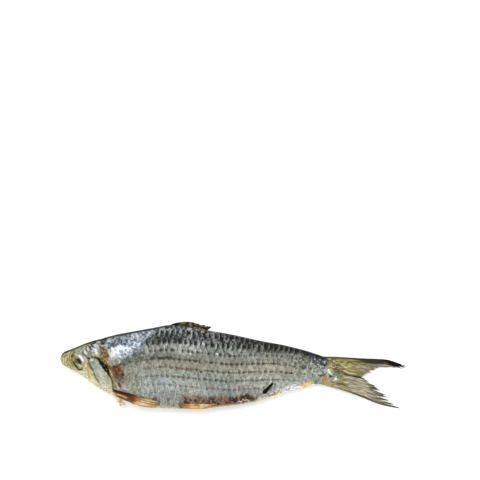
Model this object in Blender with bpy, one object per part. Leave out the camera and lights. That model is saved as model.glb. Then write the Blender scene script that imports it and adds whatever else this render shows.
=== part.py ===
"""A small sardine-like fish, salted and dried whole, lying on its right side.

+X runs from snout to tail, +Y from belly to back and +Z up from the surface that it lies on.
Flesh, skull plates, eyes and fins have dried into one piece, so the fish is one closed solid.

A place on the fish's side is given as (along, up): the distance behind the snout tip and the
height above the line from the snout to the middle of the tail. Both are in millimetres, and so
is every size below. Only the finished mesh is in metres.
"""

import math

import bpy
import numpy as np

MM = 0.001

# Driving dimensions
FLESH_LENGTH = 118.0  # snout tip to the root of the tail fin
BODY_DEPTH = 37.1  # back to belly at the deepest place, without fins
BODY_THICKNESS = 11.3  # side to side, before the floor flattens the under side

# Rows of: share of the flesh length, then there the back and the belly as shares of the depth,
# and the half thickness and the height of the fish's middle over the floor as shares of the thickness
BODY_STATIONS = np.array(
    (
        (0.000, 0.062, -0.067, 0.150, 0.380),
        (0.051, 0.132, -0.137, 0.290, 0.395),
        (0.102, 0.207, -0.229, 0.390, 0.405),
        (0.153, 0.261, -0.332, 0.450, 0.415),
        (0.203, 0.313, -0.405, 0.480, 0.420),
        (0.254, 0.353, -0.462, 0.500, 0.430),
        (0.339, 0.416, -0.527, 0.500, 0.430),
        (0.415, 0.464, -0.536, 0.500, 0.430),
        (0.525, 0.429, -0.519, 0.480, 0.415),
        (0.636, 0.389, -0.473, 0.430, 0.390),
        (0.746, 0.331, -0.398, 0.360, 0.345),
        (0.847, 0.288, -0.267, 0.270, 0.290),
        (0.932, 0.234, -0.170, 0.180, 0.245),
        (1.000, 0.176, -0.147, 0.104, 0.210),
        (1.040, 0.150, -0.120, 0.056, 0.195),
        (1.070, 0.085, -0.070, 0.020, 0.185),
        (1.300, 0.080, -0.060, 0.015, -0.040),
    )
)
NOSE_ROUNDING = 1.8  # the blunt snout closes as a quarter circle this long
FLESH_END = 1.07 * FLESH_LENGTH  # where the flesh has thinned out over the tail fin's base
FLOOR_EASE = 0.5  # how softly the underside meets the floor

# Head
EYE_CENTRE = (7.8, -0.6)
EYE_LONG = 4.3  # half lengths of the sunken eye's oval
EYE_SHORT = 2.9
EYE_TILT = math.radians(-55)
GILL_EDGE = ((14.2, 2.0), (17.2, 0.8), (19.3, -1.8), (21.5, -5.2), (23.3, -9.3), (24.0, -12.8))
CHEEK_RIDGE = ((11.6, 0.6), (13.1, -3.0), (14.6, -6.4), (16.9, -10.7), (19.9, -13.6))
SHOULDER_RIDGE = ((18.6, 5.2), (20.9, 0.6), (23.6, -4.1), (25.6, -9.6), (26.0, -13.0))
MOUTH = ((0.2, -0.5), (2.2, -1.9), (4.6, -3.9), (6.6, -5.4))
NOSTRIL = (3.3, 1.7)
GILL_GAP = 1.3  # width of the open slit behind the gill cover
GILL_DEPTH = 1.1

# Fins: each spreads between the course of its first ray and that of its last
TAIL_RAYS = 20
RAY_THICKNESS = 0.62
SHORT_RAY_THICKNESS = 0.7  # in the small fins
WEB_THICKNESS = 0.34
TAIL_WAVE = 0.4
PRESSED_ON = 0.2  # a fin that lies on the flank stands this far proud of it
OFF_MIDDLE = 0.9  # a fin pressed along an edge of the body keeps this far from its middle
ROOT_OFF_MIDDLE = 0.35
TAIL_TOP = ((114.0, 6.1), (124.2, 6.5), (134.5, 6.5), (144.8, 6.7), (155.0, 4.4))
TAIL_FOOT = ((114.0, -4.7), (123.8, -6.9), (133.7, -9.7), (143.5, -13.0), (153.4, -14.65))
# (share of the way from the top ray to the foot ray, share of its course that a ray there reaches)
TAIL_FORK = (
    (0.00, 1.00),
    (0.05, 1.00),
    (0.10, 0.96),
    (0.14, 0.87),
    (0.17, 0.74),
    (0.25, 0.67),
    (0.33, 0.62),
    (0.50, 0.53),
    (0.60, 0.62),
    (0.70, 0.71),
    (0.82, 0.81),
    (0.94, 0.93),
    (1.00, 1.00),
)
BACK_FIN_FIRST = ((46.0, 15.6), (50.3, 17.7), (54.5, 18.6), (58.5, 18.7))
BACK_FIN_LAST = ((63.0, 14.2), (65.0, 16.2), (66.6, 17.2))
ANAL_FIN_FIRST = ((85.0, -13.6), (88.0, -15.0))
ANAL_FIN_LAST = ((110.5, -5.2), (113.9, -5.9))
BREAST_FIN_FIRST = ((24.2, -12.9), (29.5, -14.0), (35.0, -15.1), (40.0, -16.3), (46.0, -17.6))
BREAST_FIN_LAST = ((25.5, -14.8), (28.5, -16.5), (32.0, -17.8), (36.6, -19.4), (44.0, -20.0))
FAR_BREAST_FIN_FIRST = ((25.2, -13.0), (27.9, -16.5), (30.6, -19.2))
FAR_BREAST_FIN_LAST = ((24.2, -13.4), (25.9, -17.0), (28.3, -20.4))
BELLY_FIN_FIRST = ((53.6, -17.8), (62.0, -17.6), (70.5, -17.0))
BELLY_FIN_LAST = ((54.4, -19.3), (61.0, -19.3), (67.0, -18.9))

# Mesh resolution
HEAD_STEP = 0.8
BODY_STEP = 2.6
UPPER_POINTS = 36
LOWER_POINTS = 13
GILL_RING = 20.0  # the ring that follows the gill cover's edge
STRAIGHT_RING = 44.0  # from here on, rings are upright
AROUND_GILL = (-0.8, -0.25, 0.3, 1.1, 2.0)  # rings close to the gill slit, from GILL_RING


def smooth_through(x, knots, values):
    """A curve through the knots that doesn't overshoot them (monotone cubic), read at x."""
    x = np.clip(np.asarray(x, float), knots[0], knots[-1])
    step = np.diff(knots)
    rise = np.diff(values) / step
    same_way = rise[:-1] * rise[1:] > 0
    inner = np.where(same_way, 2 * rise[:-1] * rise[1:] / (rise[:-1] + rise[1:] + 1e-12), 0)
    slope = np.concatenate(([rise[0]], inner, [rise[-1]]))
    i = np.clip(np.searchsorted(knots, x, side="right") - 1, 0, len(step) - 1)
    t = (x - knots[i]) / step[i]
    ends = values[i] * (1 + 2 * t) * (1 - t) ** 2 + values[i + 1] * t * t * (3 - 2 * t)
    return ends + step[i] * (slope[i] * t * (1 - t) ** 2 - slope[i + 1] * t * t * (1 - t))


def curve_through(places, share):
    """The places' smooth curve, read at shares from 0 to 1: its along and its up."""
    places = np.array(places)
    knots = np.linspace(0, 1, len(places))
    return smooth_through(share, knots, places[:, 0]), smooth_through(share, knots, places[:, 1])


def smooth_step(x, low, high):
    t = np.clip((np.asarray(x, float) - low) / (high - low), 0, 1)
    return t * t * (3 - 2 * t)


def bump(x, width):
    """1 at x = 0, fading to nothing over about twice the width."""
    return np.exp(-((x / width) ** 2))


def station(along, column):
    """A column of the body's stations, read at a distance behind the snout."""
    share = np.asarray(along, float) / FLESH_LENGTH
    return smooth_through(share, BODY_STATIONS[:, 0], BODY_STATIONS[:, column])


def nose_cap(along):
    back = 1 - np.clip(np.asarray(along, float) / NOSE_ROUNDING, 0, 1)
    return np.sqrt(np.clip(1 - back * back, 0, 1))


def back_height(along):
    return BODY_DEPTH * station(along, 1) * nose_cap(along)


def belly_height(along):
    return BODY_DEPTH * station(along, 2) * nose_cap(along)


def half_thickness(along):
    return BODY_THICKNESS * station(along, 3) * nose_cap(along)


def middle_height(along):
    return BODY_THICKNESS * station(along, 4)


def section_bulge(turn):
    """Share of the half thickness from the back (turn 0) to the keeled belly (turn pi)."""
    lean = (1 - np.cos(turn)) / 2
    fullness = np.sin(turn) ** (0.85 + 0.75 * lean**2)
    return fullness * (1 + 0.13 * np.cos(turn)) / 1.01


def flank_height(along, up, side=1):
    """Height over the floor of the bare flank at a place; side -1 is the under side."""
    top, bottom = back_height(along), belly_height(along)
    share = np.clip((up - (top + bottom) / 2) / np.maximum((top - bottom) / 2, 1e-6), -1, 1)
    return middle_height(along) + side * half_thickness(along) * section_bulge(np.arccos(share))


def distance_to(along, up, places):
    """Distance to the places' curve, positive behind it, and the share of its length reached."""
    fine = np.linspace(0, 1, 8 * (len(places) - 1) + 1)
    x, y = curve_through(places, fine)
    best = np.full(np.shape(along), 1e9)
    signed, share = best.copy(), np.zeros_like(best)
    for i in range(len(fine) - 1):
        dx, dy = x[i + 1] - x[i], y[i + 1] - y[i]
        t = np.clip(((along - x[i]) * dx + (up - y[i]) * dy) / (dx * dx + dy * dy), 0, 1)
        off_x, off_y = along - x[i] - t * dx, up - y[i] - t * dy
        away = np.hypot(off_x, off_y)
        nearer = away < best
        best = np.where(nearer, away, best)
        signed = np.where(nearer, away * np.sign(dx * off_y - dy * off_x), signed)
        share = np.where(nearer, fine[i] + t * fine[1], share)
    return signed, share


def between(share, start, end, ease):
    """1 between two shares of a curve's length, easing to 0 beyond them."""
    return smooth_step(share, start - ease, start + ease) * (1 - smooth_step(share, end - ease, end + ease))


def eye_radius(along, up):
    """0 at the eye's centre and 1 on the rim of its oval."""
    x, y = along - EYE_CENTRE[0], up - EYE_CENTRE[1]
    lengthwise = (x * math.cos(EYE_TILT) + y * math.sin(EYE_TILT)) / EYE_LONG
    crosswise = (y * math.cos(EYE_TILT) - x * math.sin(EYE_TILT)) / EYE_SHORT
    return np.hypot(lengthwise, crosswise)


def eye_relief(along, up):
    """A raised rim, a sunken ring and the dried eyeball with its hollow pupil."""
    r = eye_radius(along, up)
    rim = 0.28 * bump(r - 1.12, 0.18)
    ring = -0.42 * bump(r - 0.84, 0.17)
    ball = 0.25 * np.clip(1 - (r / 0.8) ** 2, 0, 1)
    pupil = -0.40 * bump(r, 0.28)
    return rim + ring + ball + pupil


def gill_relief(along, up):
    """The gill cover's raised edge, the open slit behind it, and the shoulder ridge behind that."""
    behind, share = distance_to(along, up, GILL_EDGE)
    ends = between(share, 0.08, 0.92, 0.08)
    cover = 0.40 * ends * smooth_step(behind, -7, -0.5) * (1 - smooth_step(behind, -0.25, 0.1))
    width = GILL_GAP * (0.35 + 0.65 * bump(share - 0.45, 0.3))
    slit = smooth_step(behind, -0.15, 0.25) * (1 - smooth_step(behind, width, width + 0.8))
    off_ridge, reached = distance_to(along, up, SHOULDER_RIDGE)
    ridge = 0.24 * bump(off_ridge, 0.8) * between(reached, 0.1, 0.9, 0.1)
    return cover - GILL_DEPTH * ends * slit + ridge


def cheek_relief(along, up):
    """The ridge between cheek and gill cover, with a groove behind it."""
    behind, share = distance_to(along, up, CHEEK_RIDGE)
    return between(share, 0.08, 0.92, 0.08) * (0.28 * bump(behind + 0.4, 0.6) - 0.24 * bump(behind - 0.7, 0.5))


def mouth_relief(along, up):
    """The shut mouth, the lip above it and the nostril."""
    off, share = distance_to(along, up, MOUTH)
    nostril = np.hypot(along - NOSTRIL[0], up - NOSTRIL[1])
    lips = 0.12 * bump(off - 0.9, 0.5) - 0.34 * bump(off, 0.32)
    return lips * (1 - smooth_step(share, 0.8, 1)) - 0.3 * bump(nostril, 0.5)


def flesh_relief(along, up):
    """Shrunken flesh: a furrow along the flank, a sunken belly band and soft uneven hollows."""
    belly = belly_height(along)
    depth_share = (up - belly) / np.maximum(back_height(along) - belly, 1e-6)
    flank = between(along, 31, 106, 8)
    furrow = -0.16 * bump(depth_share - 0.55, 0.06)
    band = -0.40 * bump(depth_share - 0.12, 0.07) * between(along, 51, 89, 7)
    nape = -0.25 * bump(np.hypot((along - 19) / 3.5, (up - 7.5) / 2.2), 1)
    uneven = 0.10 * np.sin(0.21 * along + 0.6 * up) + 0.07 * np.sin(0.43 * along - 0.31 * up + 1)
    return flank * (furrow + band + uneven) + nape


def relief(along, up):
    """How far the surface stands out at a place, the same on both sides."""
    head = eye_relief(along, up) + gill_relief(along, up) + cheek_relief(along, up) + mouth_relief(along, up)
    return head + flesh_relief(along, up)


def rest_on_floor(height):
    """Flattens what would be under the floor, with an eased edge round the flat spot."""
    eased = (height + FLOOR_EASE) ** 2 / (4 * FLOOR_EASE)
    return np.where(height > FLOOR_EASE, height, np.where(height < -FLOOR_EASE, 0, eased))


def ring_stations():
    """Where the body's rings are: close together on the head and closest at the gill slit."""
    nose = NOSE_ROUNDING * (1 - np.cos(np.linspace(0, math.pi / 2, 6)))[1:]
    gill = GILL_RING + np.array(AROUND_GILL)
    head = np.linspace(nose[-1], gill[0], round((gill[0] - nose[-1]) / HEAD_STEP))[1:-1]
    body = np.linspace(gill[-1], FLESH_END, round((FLESH_END - gill[-1]) / BODY_STEP))[1:]
    return np.concatenate((nose, head, gill, body))


def gill_line(up):
    """How far behind the snout the gill cover's edge, carried on to back and belly, lies."""
    edge = np.array(((12.0, 11.0), (13.4, 4.5), *GILL_EDGE[1:], (25.4, -20.0)))[::-1]
    return smooth_through(up, edge[:, 1], edge[:, 0])


def ring_points(ring, turn):
    """(along, up) of points on a ring that leans like the gill cover's edge where it is near it."""
    along = ring + 0 * turn
    for _ in range(6):
        top, bottom = back_height(along), belly_height(along)
        up = (top + bottom) / 2 + (top - bottom) / 2 * np.cos(turn)
        gill = gill_line(up)
        past = gill + (ring - GILL_RING) * (STRAIGHT_RING - gill) / (STRAIGHT_RING - GILL_RING)
        leaning = np.where(ring < GILL_RING, ring * gill / GILL_RING, past)
        along = np.where(ring < STRAIGHT_RING, leaning, ring)
    return along, up


def body_surface(rings, turns, sides):
    """Points of the flesh and head, as an array of rings by turns."""
    ring, turn = np.meshgrid(rings, turns, indexing="ij")
    along, up = ring_points(ring, turn)
    bare = np.stack((along, up, middle_height(along) + sides * half_thickness(along) * section_bulge(turn)), -1)
    lengthwise = np.gradient(bare, axis=0)
    around = np.roll(bare, -1, 1) - np.roll(bare, 1, 1)
    outward = np.cross(around, lengthwise)
    outward /= np.maximum(np.linalg.norm(outward, axis=-1, keepdims=True), 1e-9)
    fade = np.sin(turn) ** 0.6 * smooth_step(along, 0, 1.5)
    points = bare + outward * (relief(along, up) * fade)[..., None]
    points[..., 2] = rest_on_floor(points[..., 2])
    return points


def body_mesh():
    """The flesh and head as rings of points from the snout to the tail, closed at both ends."""
    rings = ring_stations()
    spread = lambda share: math.pi * (share + 0.07 * np.sin(2 * math.pi * share))
    upper = np.linspace(0, 1, UPPER_POINTS + 1)
    lower = np.linspace(1, 0, LOWER_POINTS + 1)[1:-1]
    turns = spread(np.concatenate((upper, lower)))
    sides = np.repeat((1, -1), (len(upper), len(lower)))
    surface = body_surface(rings, turns, sides)
    snout = (0.0, 0.0, float(middle_height(0)))
    tail = surface[-1].mean(0) + (0.6, 0, 0)
    points = [snout, *surface.reshape(-1, 3), tail]
    around = len(turns)
    last = 1 + (len(rings) - 1) * around
    faces = []
    for j in range(around):
        k = (j + 1) % around
        faces.append((0, 1 + j, 1 + k))
        faces.append((len(points) - 1, last + k, last + j))
        for start in range(1, last, around):
            faces.append((start + j, start + around + j, start + around + k, start + k))
    return points, faces


def fin_mesh(first, last, height, rays, rows, rag, seed, reach=((0, 1), (1, 1)), thickness=RAY_THICKNESS):
    """A fin as a closed sheet with rays, spread between the courses of its first and last ray.

    height(along, up) is the middle of the sheet over the floor, on which it lies at the lowest.
    reach says how much of its course a ray has, from the first ray to the last, and rag by how
    much a ray or the web beside it may fall short of that.
    """
    chance = np.random.default_rng(seed)
    across = np.linspace(0, 1, 2 * rays + 1)
    length = np.interp(across, *np.array(reach).T)
    length[1::2] -= rag * 0.5 * chance.random(rays)
    length[0::2] -= rag * (0.35 + 0.65 * chance.random(rays + 1))
    length[[0, -1]] = (reach[0][1], reach[-1][1])
    out = np.linspace(0, 1, rows + 1)[:, None] * length
    one, other = curve_through(first, out), curve_through(last, out)
    along = one[0] + (other[0] - one[0]) * across
    up = one[1] + (other[1] - one[1]) * across
    on_ray = np.arange(len(across)) % 2 == 1
    half = 0.5 * np.where(on_ray, thickness, WEB_THICKNESS) * (1 - 0.35 * out)
    middle = np.maximum(height(along, up), half)
    count, width = along.size, len(across)
    points = []
    for offset in (half, -half):
        points += list(zip(along.ravel(), up.ravel(), (middle + offset).ravel()))
    faces = []
    for i in range(rows):
        for j in range(width - 1):
            a = i * width + j
            quad = (a, a + width, a + width + 1, a + 1)
            faces.append(quad)
            faces.append(tuple(count + p for p in reversed(quad)))
    edge = [*range(width), *range(2 * width - 1, count, width)]
    edge += [*range(count - 2, count - width - 1, -1), *range(count - 2 * width, 0, -width)]
    for a, b in zip(edge, edge[1:] + edge[:1]):
        faces.append((a, b, count + b, count + a))
    return points, faces


def tail_fin():
    """Both lobes of the forked tail, fanning out of the flesh, with their tips on the floor."""

    def wavy(along, up):
        wave = TAIL_WAVE * np.sin(0.30 * along + 0.45 * up) * smooth_step(along, FLESH_END - 4, 138)
        return middle_height(along) + wave

    return fin_mesh(TAIL_TOP, TAIL_FOOT, wavy, TAIL_RAYS, 9, 0.07, seed=4, reach=TAIL_FORK)


def back_fin():
    """The dorsal fin, folded back along the ridge of the back."""
    lean = lambda along, up: middle_height(along) + OFF_MIDDLE - 0.12 * (up - BACK_FIN_FIRST[-1][1])
    return fin_mesh(BACK_FIN_FIRST, BACK_FIN_LAST, lean, 6, 5, 0.1, 7, thickness=SHORT_RAY_THICKNESS)


def anal_fin():
    """The low fin under the rear of the belly, with its last rays longer."""
    level = lambda along, up: middle_height(along)
    return fin_mesh(ANAL_FIN_FIRST, ANAL_FIN_LAST, level, 12, 3, 0.12, 11, thickness=SHORT_RAY_THICKNESS)


def breast_fin():
    """The pectoral fin of the upper side, pressed along the edge of the belly."""
    def lying(along, up):
        return np.maximum(flank_height(along, up), middle_height(along) + OFF_MIDDLE) + PRESSED_ON

    return fin_mesh(BREAST_FIN_FIRST, BREAST_FIN_LAST, lying, 7, 9, 0.12, 5, thickness=SHORT_RAY_THICKNESS)


def far_breast_fin():
    """The pectoral fin of the under side, whose tip shows below the throat."""
    root_up = FAR_BREAST_FIN_FIRST[0][1]
    lying = lambda along, up: flank_height(along, up, side=-1) - PRESSED_ON + 0.1 * (up - root_up)
    shape = (FAR_BREAST_FIN_FIRST, FAR_BREAST_FIN_LAST, lying)
    return fin_mesh(*shape, 4, 6, 0.12, 9, thickness=SHORT_RAY_THICKNESS)


def belly_fin(side):
    """A pelvic fin, folded along the keel of the belly; side 1 is the upper one."""

    def lying(along, up):
        middle = middle_height(along)
        past_root = smooth_step(along, BELLY_FIN_FIRST[0][0], BELLY_FIN_FIRST[1][0])
        clear = ROOT_OFF_MIDDLE + (OFF_MIDDLE - ROOT_OFF_MIDDLE) * past_root
        return middle + side * np.maximum(side * (flank_height(along, up, side) - middle), clear)

    shape = (BELLY_FIN_FIRST, BELLY_FIN_LAST, lying)
    return fin_mesh(*shape, 4, 5, 0.12, 3 + side, thickness=SHORT_RAY_THICKNESS)


def new_object(name, points, faces, material):
    """An object from points in millimetres."""
    mesh = bpy.data.meshes.new(name)
    mesh.from_pydata(np.array(points) * MM, [], faces)
    mesh.materials.append(material)
    made = bpy.data.objects.new(name, mesh)
    bpy.context.scene.collection.objects.link(made)
    return made


def dried_skin():
    material = bpy.data.materials.new("dried_skin")
    material.use_nodes = True
    shader = material.node_tree.nodes["Principled BSDF"]
    shader.inputs["Base Color"].default_value = (0.29, 0.29, 0.24, 1)
    shader.inputs["Roughness"].default_value = 0.5
    shader.inputs["Metallic"].default_value = 0.0
    return material


def fuse(body, fins):
    """Joins the fins to the flesh as one solid and drops the separate fins."""
    group = bpy.data.collections.new("fins")
    bpy.context.scene.collection.children.link(group)
    for fin in fins:
        bpy.context.scene.collection.objects.unlink(fin)
        group.objects.link(fin)
    join = body.modifiers.new("join_fins", "BOOLEAN")
    join.operation = "UNION"
    join.operand_type = "COLLECTION"
    join.collection = group
    join.solver = "EXACT"
    bpy.context.view_layer.update()
    joined = bpy.data.meshes.new_from_object(body.evaluated_get(bpy.context.evaluated_depsgraph_get()))
    body.modifiers.clear()
    body.data = joined
    for fin in fins:
        bpy.data.objects.remove(fin)
    bpy.data.collections.remove(group)


def centre_on_base(body):
    """Puts the origin at the bottom centre of the fish, which rests on the floor."""
    corners = np.array([vertex.co for vertex in body.data.vertices])
    low, high = corners.min(0), corners.max(0)
    for vertex in body.data.vertices:
        vertex.co.x -= (low[0] + high[0]) / 2
        vertex.co.y -= (low[1] + high[1]) / 2
        vertex.co.z -= low[2]


def main():
    for old in list(bpy.data.objects):
        bpy.data.objects.remove(old)
    skin = dried_skin()
    fish = new_object("fish", *body_mesh(), skin)
    fins = {
        "tail_fin": tail_fin(),
        "back_fin": back_fin(),
        "anal_fin": anal_fin(),
        "breast_fin": breast_fin(),
        "far_breast_fin": far_breast_fin(),
        "belly_fin": belly_fin(1),
        "far_belly_fin": belly_fin(-1),
    }
    fuse(fish, [new_object(name, *shape, skin) for name, shape in fins.items()])
    centre_on_base(fish)
    fish.data.shade_smooth()


main()
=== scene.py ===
"""The looks of a small sardine-like fish that was salted and dried whole.

The fish lies on its right side: +X from snout to tail, +Y from belly to back, +Z up. A place on its
side is (along, up): the distance behind the snout tip and the height above the line from the snout to
the middle of the tail. Both, and every size below, are in millimetres unless it says otherwise.
"""

import itertools
import math
from types import SimpleNamespace

import bpy
import numpy as np
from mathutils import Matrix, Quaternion, Vector


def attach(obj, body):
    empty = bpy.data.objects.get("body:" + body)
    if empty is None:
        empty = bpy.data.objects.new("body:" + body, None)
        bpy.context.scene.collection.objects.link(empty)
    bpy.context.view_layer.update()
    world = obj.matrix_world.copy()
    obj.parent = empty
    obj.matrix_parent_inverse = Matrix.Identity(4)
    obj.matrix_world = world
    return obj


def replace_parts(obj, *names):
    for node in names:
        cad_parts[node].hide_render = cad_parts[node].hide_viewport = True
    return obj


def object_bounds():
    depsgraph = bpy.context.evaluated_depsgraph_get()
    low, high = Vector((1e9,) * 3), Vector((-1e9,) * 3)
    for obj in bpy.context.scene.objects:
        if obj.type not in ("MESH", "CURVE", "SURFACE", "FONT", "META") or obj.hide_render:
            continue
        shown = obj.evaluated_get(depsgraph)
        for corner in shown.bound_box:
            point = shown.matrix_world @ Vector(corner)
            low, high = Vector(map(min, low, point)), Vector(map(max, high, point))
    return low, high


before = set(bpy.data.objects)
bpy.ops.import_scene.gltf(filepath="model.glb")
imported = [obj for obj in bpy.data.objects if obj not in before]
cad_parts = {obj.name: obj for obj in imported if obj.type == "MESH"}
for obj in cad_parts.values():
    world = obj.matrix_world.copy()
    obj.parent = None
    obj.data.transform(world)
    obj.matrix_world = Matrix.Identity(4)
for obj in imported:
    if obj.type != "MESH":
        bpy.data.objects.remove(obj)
CAD_LOW, CAD_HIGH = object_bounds()

MM = 0.001

# --- The fish's shape: as in the solid, but for the gill slit and the tail's torn rear edge

FLESH_LENGTH = 118.0
BODY_DEPTH = 37.1
BODY_THICKNESS = 11.3
# Rows of: share of the flesh length, then there the back and the belly as shares of the depth,
# and the half thickness and the height of the fish's middle over the floor as shares of the thickness
BODY_STATIONS = np.array(
    (
        (0.000, 0.062, -0.067, 0.150, 0.380),
        (0.051, 0.132, -0.137, 0.290, 0.395),
        (0.102, 0.207, -0.229, 0.390, 0.405),
        (0.153, 0.261, -0.332, 0.450, 0.415),
        (0.203, 0.313, -0.405, 0.480, 0.420),
        (0.254, 0.353, -0.462, 0.500, 0.430),
        (0.339, 0.416, -0.527, 0.500, 0.430),
        (0.415, 0.464, -0.536, 0.500, 0.430),
        (0.525, 0.429, -0.519, 0.480, 0.415),
        (0.636, 0.389, -0.473, 0.430, 0.390),
        (0.746, 0.331, -0.398, 0.360, 0.345),
        (0.847, 0.288, -0.267, 0.270, 0.290),
        (0.932, 0.234, -0.170, 0.180, 0.245),
        (1.000, 0.176, -0.147, 0.104, 0.210),
        (1.040, 0.150, -0.120, 0.056, 0.195),
        (1.070, 0.085, -0.070, 0.020, 0.185),
        (1.300, 0.080, -0.060, 0.015, -0.040),
    )
)
NOSE_ROUNDING = 1.8
FLESH_END = 1.07 * FLESH_LENGTH
FLOOR_EASE = 0.5
HIGHEST_UP = 18.7  # of the back fin's tip
LOWEST_UP = -20.4  # of the far breast fin's tip

EYE_CENTRE = (7.8, -0.6)
EYE_LONG = 4.3
EYE_SHORT = 2.9
EYE_TILT = -55  # degrees
GILL_EDGE = (
    *((14.2, 1.6), (16.4, 0.5), (17.5, -1.3), (19.2, -3.5), (20.8, -5.2)),
    *((22.0, -6.9), (23.0, -8.6), (23.6, -10.8), (23.9, -12.8)),
)
GILL_LINE = np.array(
    (
        *((25.4, -20.0), (24.0, -12.8), (23.3, -9.3), (21.5, -5.2)),
        *((19.3, -1.8), (17.2, 0.8), (13.4, 4.5), (12.0, 11.0)),
    )
)
CHEEK_RIDGE = ((11.6, 0.6), (13.1, -3.0), (14.6, -6.4), (16.9, -10.7), (19.9, -13.6))
SHOULDER_RIDGE = ((18.6, 5.2), (20.9, 0.6), (23.6, -4.1), (25.6, -9.6), (26.0, -13.0))
MOUTH = ((0.2, -0.5), (2.2, -1.9), (4.6, -3.9), (6.6, -5.4))
NOSTRIL = (3.3, 1.7)
GILL_GAP = 1.7
GILL_DEPTH = 1.0

TAIL_TOP = ((114.0, 6.1), (124.2, 6.5), (134.5, 6.5), (144.8, 6.7), (155.0, 4.4))
TAIL_FOOT = ((114.0, -4.7), (123.8, -6.9), (133.7, -9.7), (143.5, -13.0), (153.4, -14.65))
# How far the tail reaches, and where its strands have torn apart and how deep, by the share of the way
# from its top ray to its foot ray
TAIL_FORK = (
    *((0.00, 1.00), (0.05, 1.00), (0.10, 0.96), (0.14, 0.87), (0.17, 0.74), (0.25, 0.67), (0.33, 0.62)),
    *((0.50, 0.53), (0.60, 0.65), (0.70, 0.76), (0.82, 0.85), (0.94, 0.95), (1.00, 1.00)),
)
TAIL_TEARS = (
    *((0.21, 0.05), (0.29, 0.06), (0.37, 0.05), (0.43, 0.04), (0.60, 0.06)),
    *((0.735, 0.17), (0.85, 0.16), (0.912, 0.17), (0.963, 0.13)),
)
TEAR_WIDTH = 0.016
BACK_FIN = (
    ((46.0, 15.6), (50.3, 17.7), (54.5, 18.6), (58.5, 18.7)),
    ((63.0, 14.2), (65.0, 16.2), (66.6, 17.2)),
)
ANAL_FIN = ((85.0, -13.6), (88.0, -15.0)), ((110.5, -5.2), (113.9, -5.9))
BREAST_FIN = (
    ((24.2, -12.9), (29.5, -14.0), (35.0, -15.1), (40.0, -16.3), (46.0, -17.6)),
    ((25.5, -14.8), (28.5, -16.5), (32.0, -17.8), (36.6, -19.4), (44.0, -20.0)),
)
FAR_BREAST_FIN = (
    ((25.2, -13.0), (27.9, -16.5), (30.6, -19.2)),
    ((24.2, -13.4), (25.9, -17.0), (28.3, -20.4)),
)
BELLY_FIN = ((53.6, -17.8), (62.0, -17.6), (70.5, -17.0)), ((54.4, -19.3), (61.0, -19.3), (67.0, -18.9))
TAIL_WAVE = 0.4
PRESSED_ON = 0.2
OFF_MIDDLE = 0.9
ROOT_OFF_MIDDLE = 0.35

# --- Mesh resolution

HEAD_STEP = 0.27
BODY_STEP = 0.33
GILL_STEP = 0.13
UPPER_POINTS = 150
LOWER_POINTS = 68
GILL_RING = 20.0
STRAIGHT_RING = 44.0

# --- Scales

SCALE_PITCH = 2.37  # from one scale to the next in its row
SCALE_THICKNESS = 0.075
# Height of the row that runs along the middle of the flank, and the distance between rows there
MIDDLE_ROW = (
    *((16, -7.0), (24, -3.4), (27, -1.9), (31, -0.5), (35.5, 0.8), (41, 1.7), (47, 2.4), (55, 2.2)),
    *((62, 1.8), (69, 1.5), (76, 1.2), (83, 1.8), (90, 2.3), (97, 2.5), (104, 2.0), (111, 1.2), (126, 0.6)),
)
ROW_SPACING = (
    *((16, 3.5), (41, 3.75), (55, 3.9), (76, 3.8), (90, 3.7)),
    *((97, 3.5), (104, 3.2), (111, 3.0), (126, 2.7)),
)

# --- Curves and masks


def srgb(red, green, blue):
    """A linear colour from display values of 0 to 255."""
    share = np.array((red, green, blue)) / 255
    return np.where(share <= 0.04045, share / 12.92, ((share + 0.055) / 1.055) ** 2.4)


def smooth_through(x, knots, values):
    """A curve through the knots that doesn't overshoot them (monotone cubic), read at x."""
    x = np.clip(np.asarray(x, float), knots[0], knots[-1])
    step = np.diff(knots)
    rises = np.diff(values) / step
    same_way = rises[:-1] * rises[1:] > 0
    inner = np.where(same_way, 2 * rises[:-1] * rises[1:] / (rises[:-1] + rises[1:] + 1e-12), 0)
    slope = np.concatenate(([rises[0]], inner, [rises[-1]]))
    i = np.clip(np.searchsorted(knots, x, side="right") - 1, 0, len(step) - 1)
    t = (x - knots[i]) / step[i]
    ends = values[i] * (1 + 2 * t) * (1 - t) ** 2 + values[i + 1] * t * t * (3 - 2 * t)
    return ends + step[i] * (slope[i] * t * (1 - t) ** 2 - slope[i + 1] * t * t * (1 - t))


def graph(x, places):
    """A smooth curve through (x, value) places, read at x."""
    return smooth_through(x, *np.transpose(np.array(places, float)))


def curve_through(places, share):
    """The places' smooth curve, read at shares from 0 to 1: its along and its up."""
    knots = np.linspace(0, 1, len(places))
    return [smooth_through(share, knots, values) for values in np.transpose(places)]


def rise(x, low, high):
    """0 below low, 1 above high and smooth between."""
    t = np.clip((np.asarray(x, float) - low) / (high - low), 0, 1)
    return t * t * (3 - 2 * t)


def fall(x, low, high):
    return 1 - rise(x, low, high)


def between(x, start, end, ease):
    """1 between two values, easing to 0 beyond them."""
    return rise(x, start - ease, start + ease) * fall(x, end - ease, end + ease)


def bump(x, width):
    """1 at x = 0, fading to nothing over about twice the width."""
    return np.exp(-((x / width) ** 2))


def turned(x, y, lean):
    """How far a place is along and across a line that leans up by so many degrees."""
    c, s = math.cos(math.radians(lean)), math.sin(math.radians(lean))
    return x * c + y * s, y * c - x * s


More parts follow.
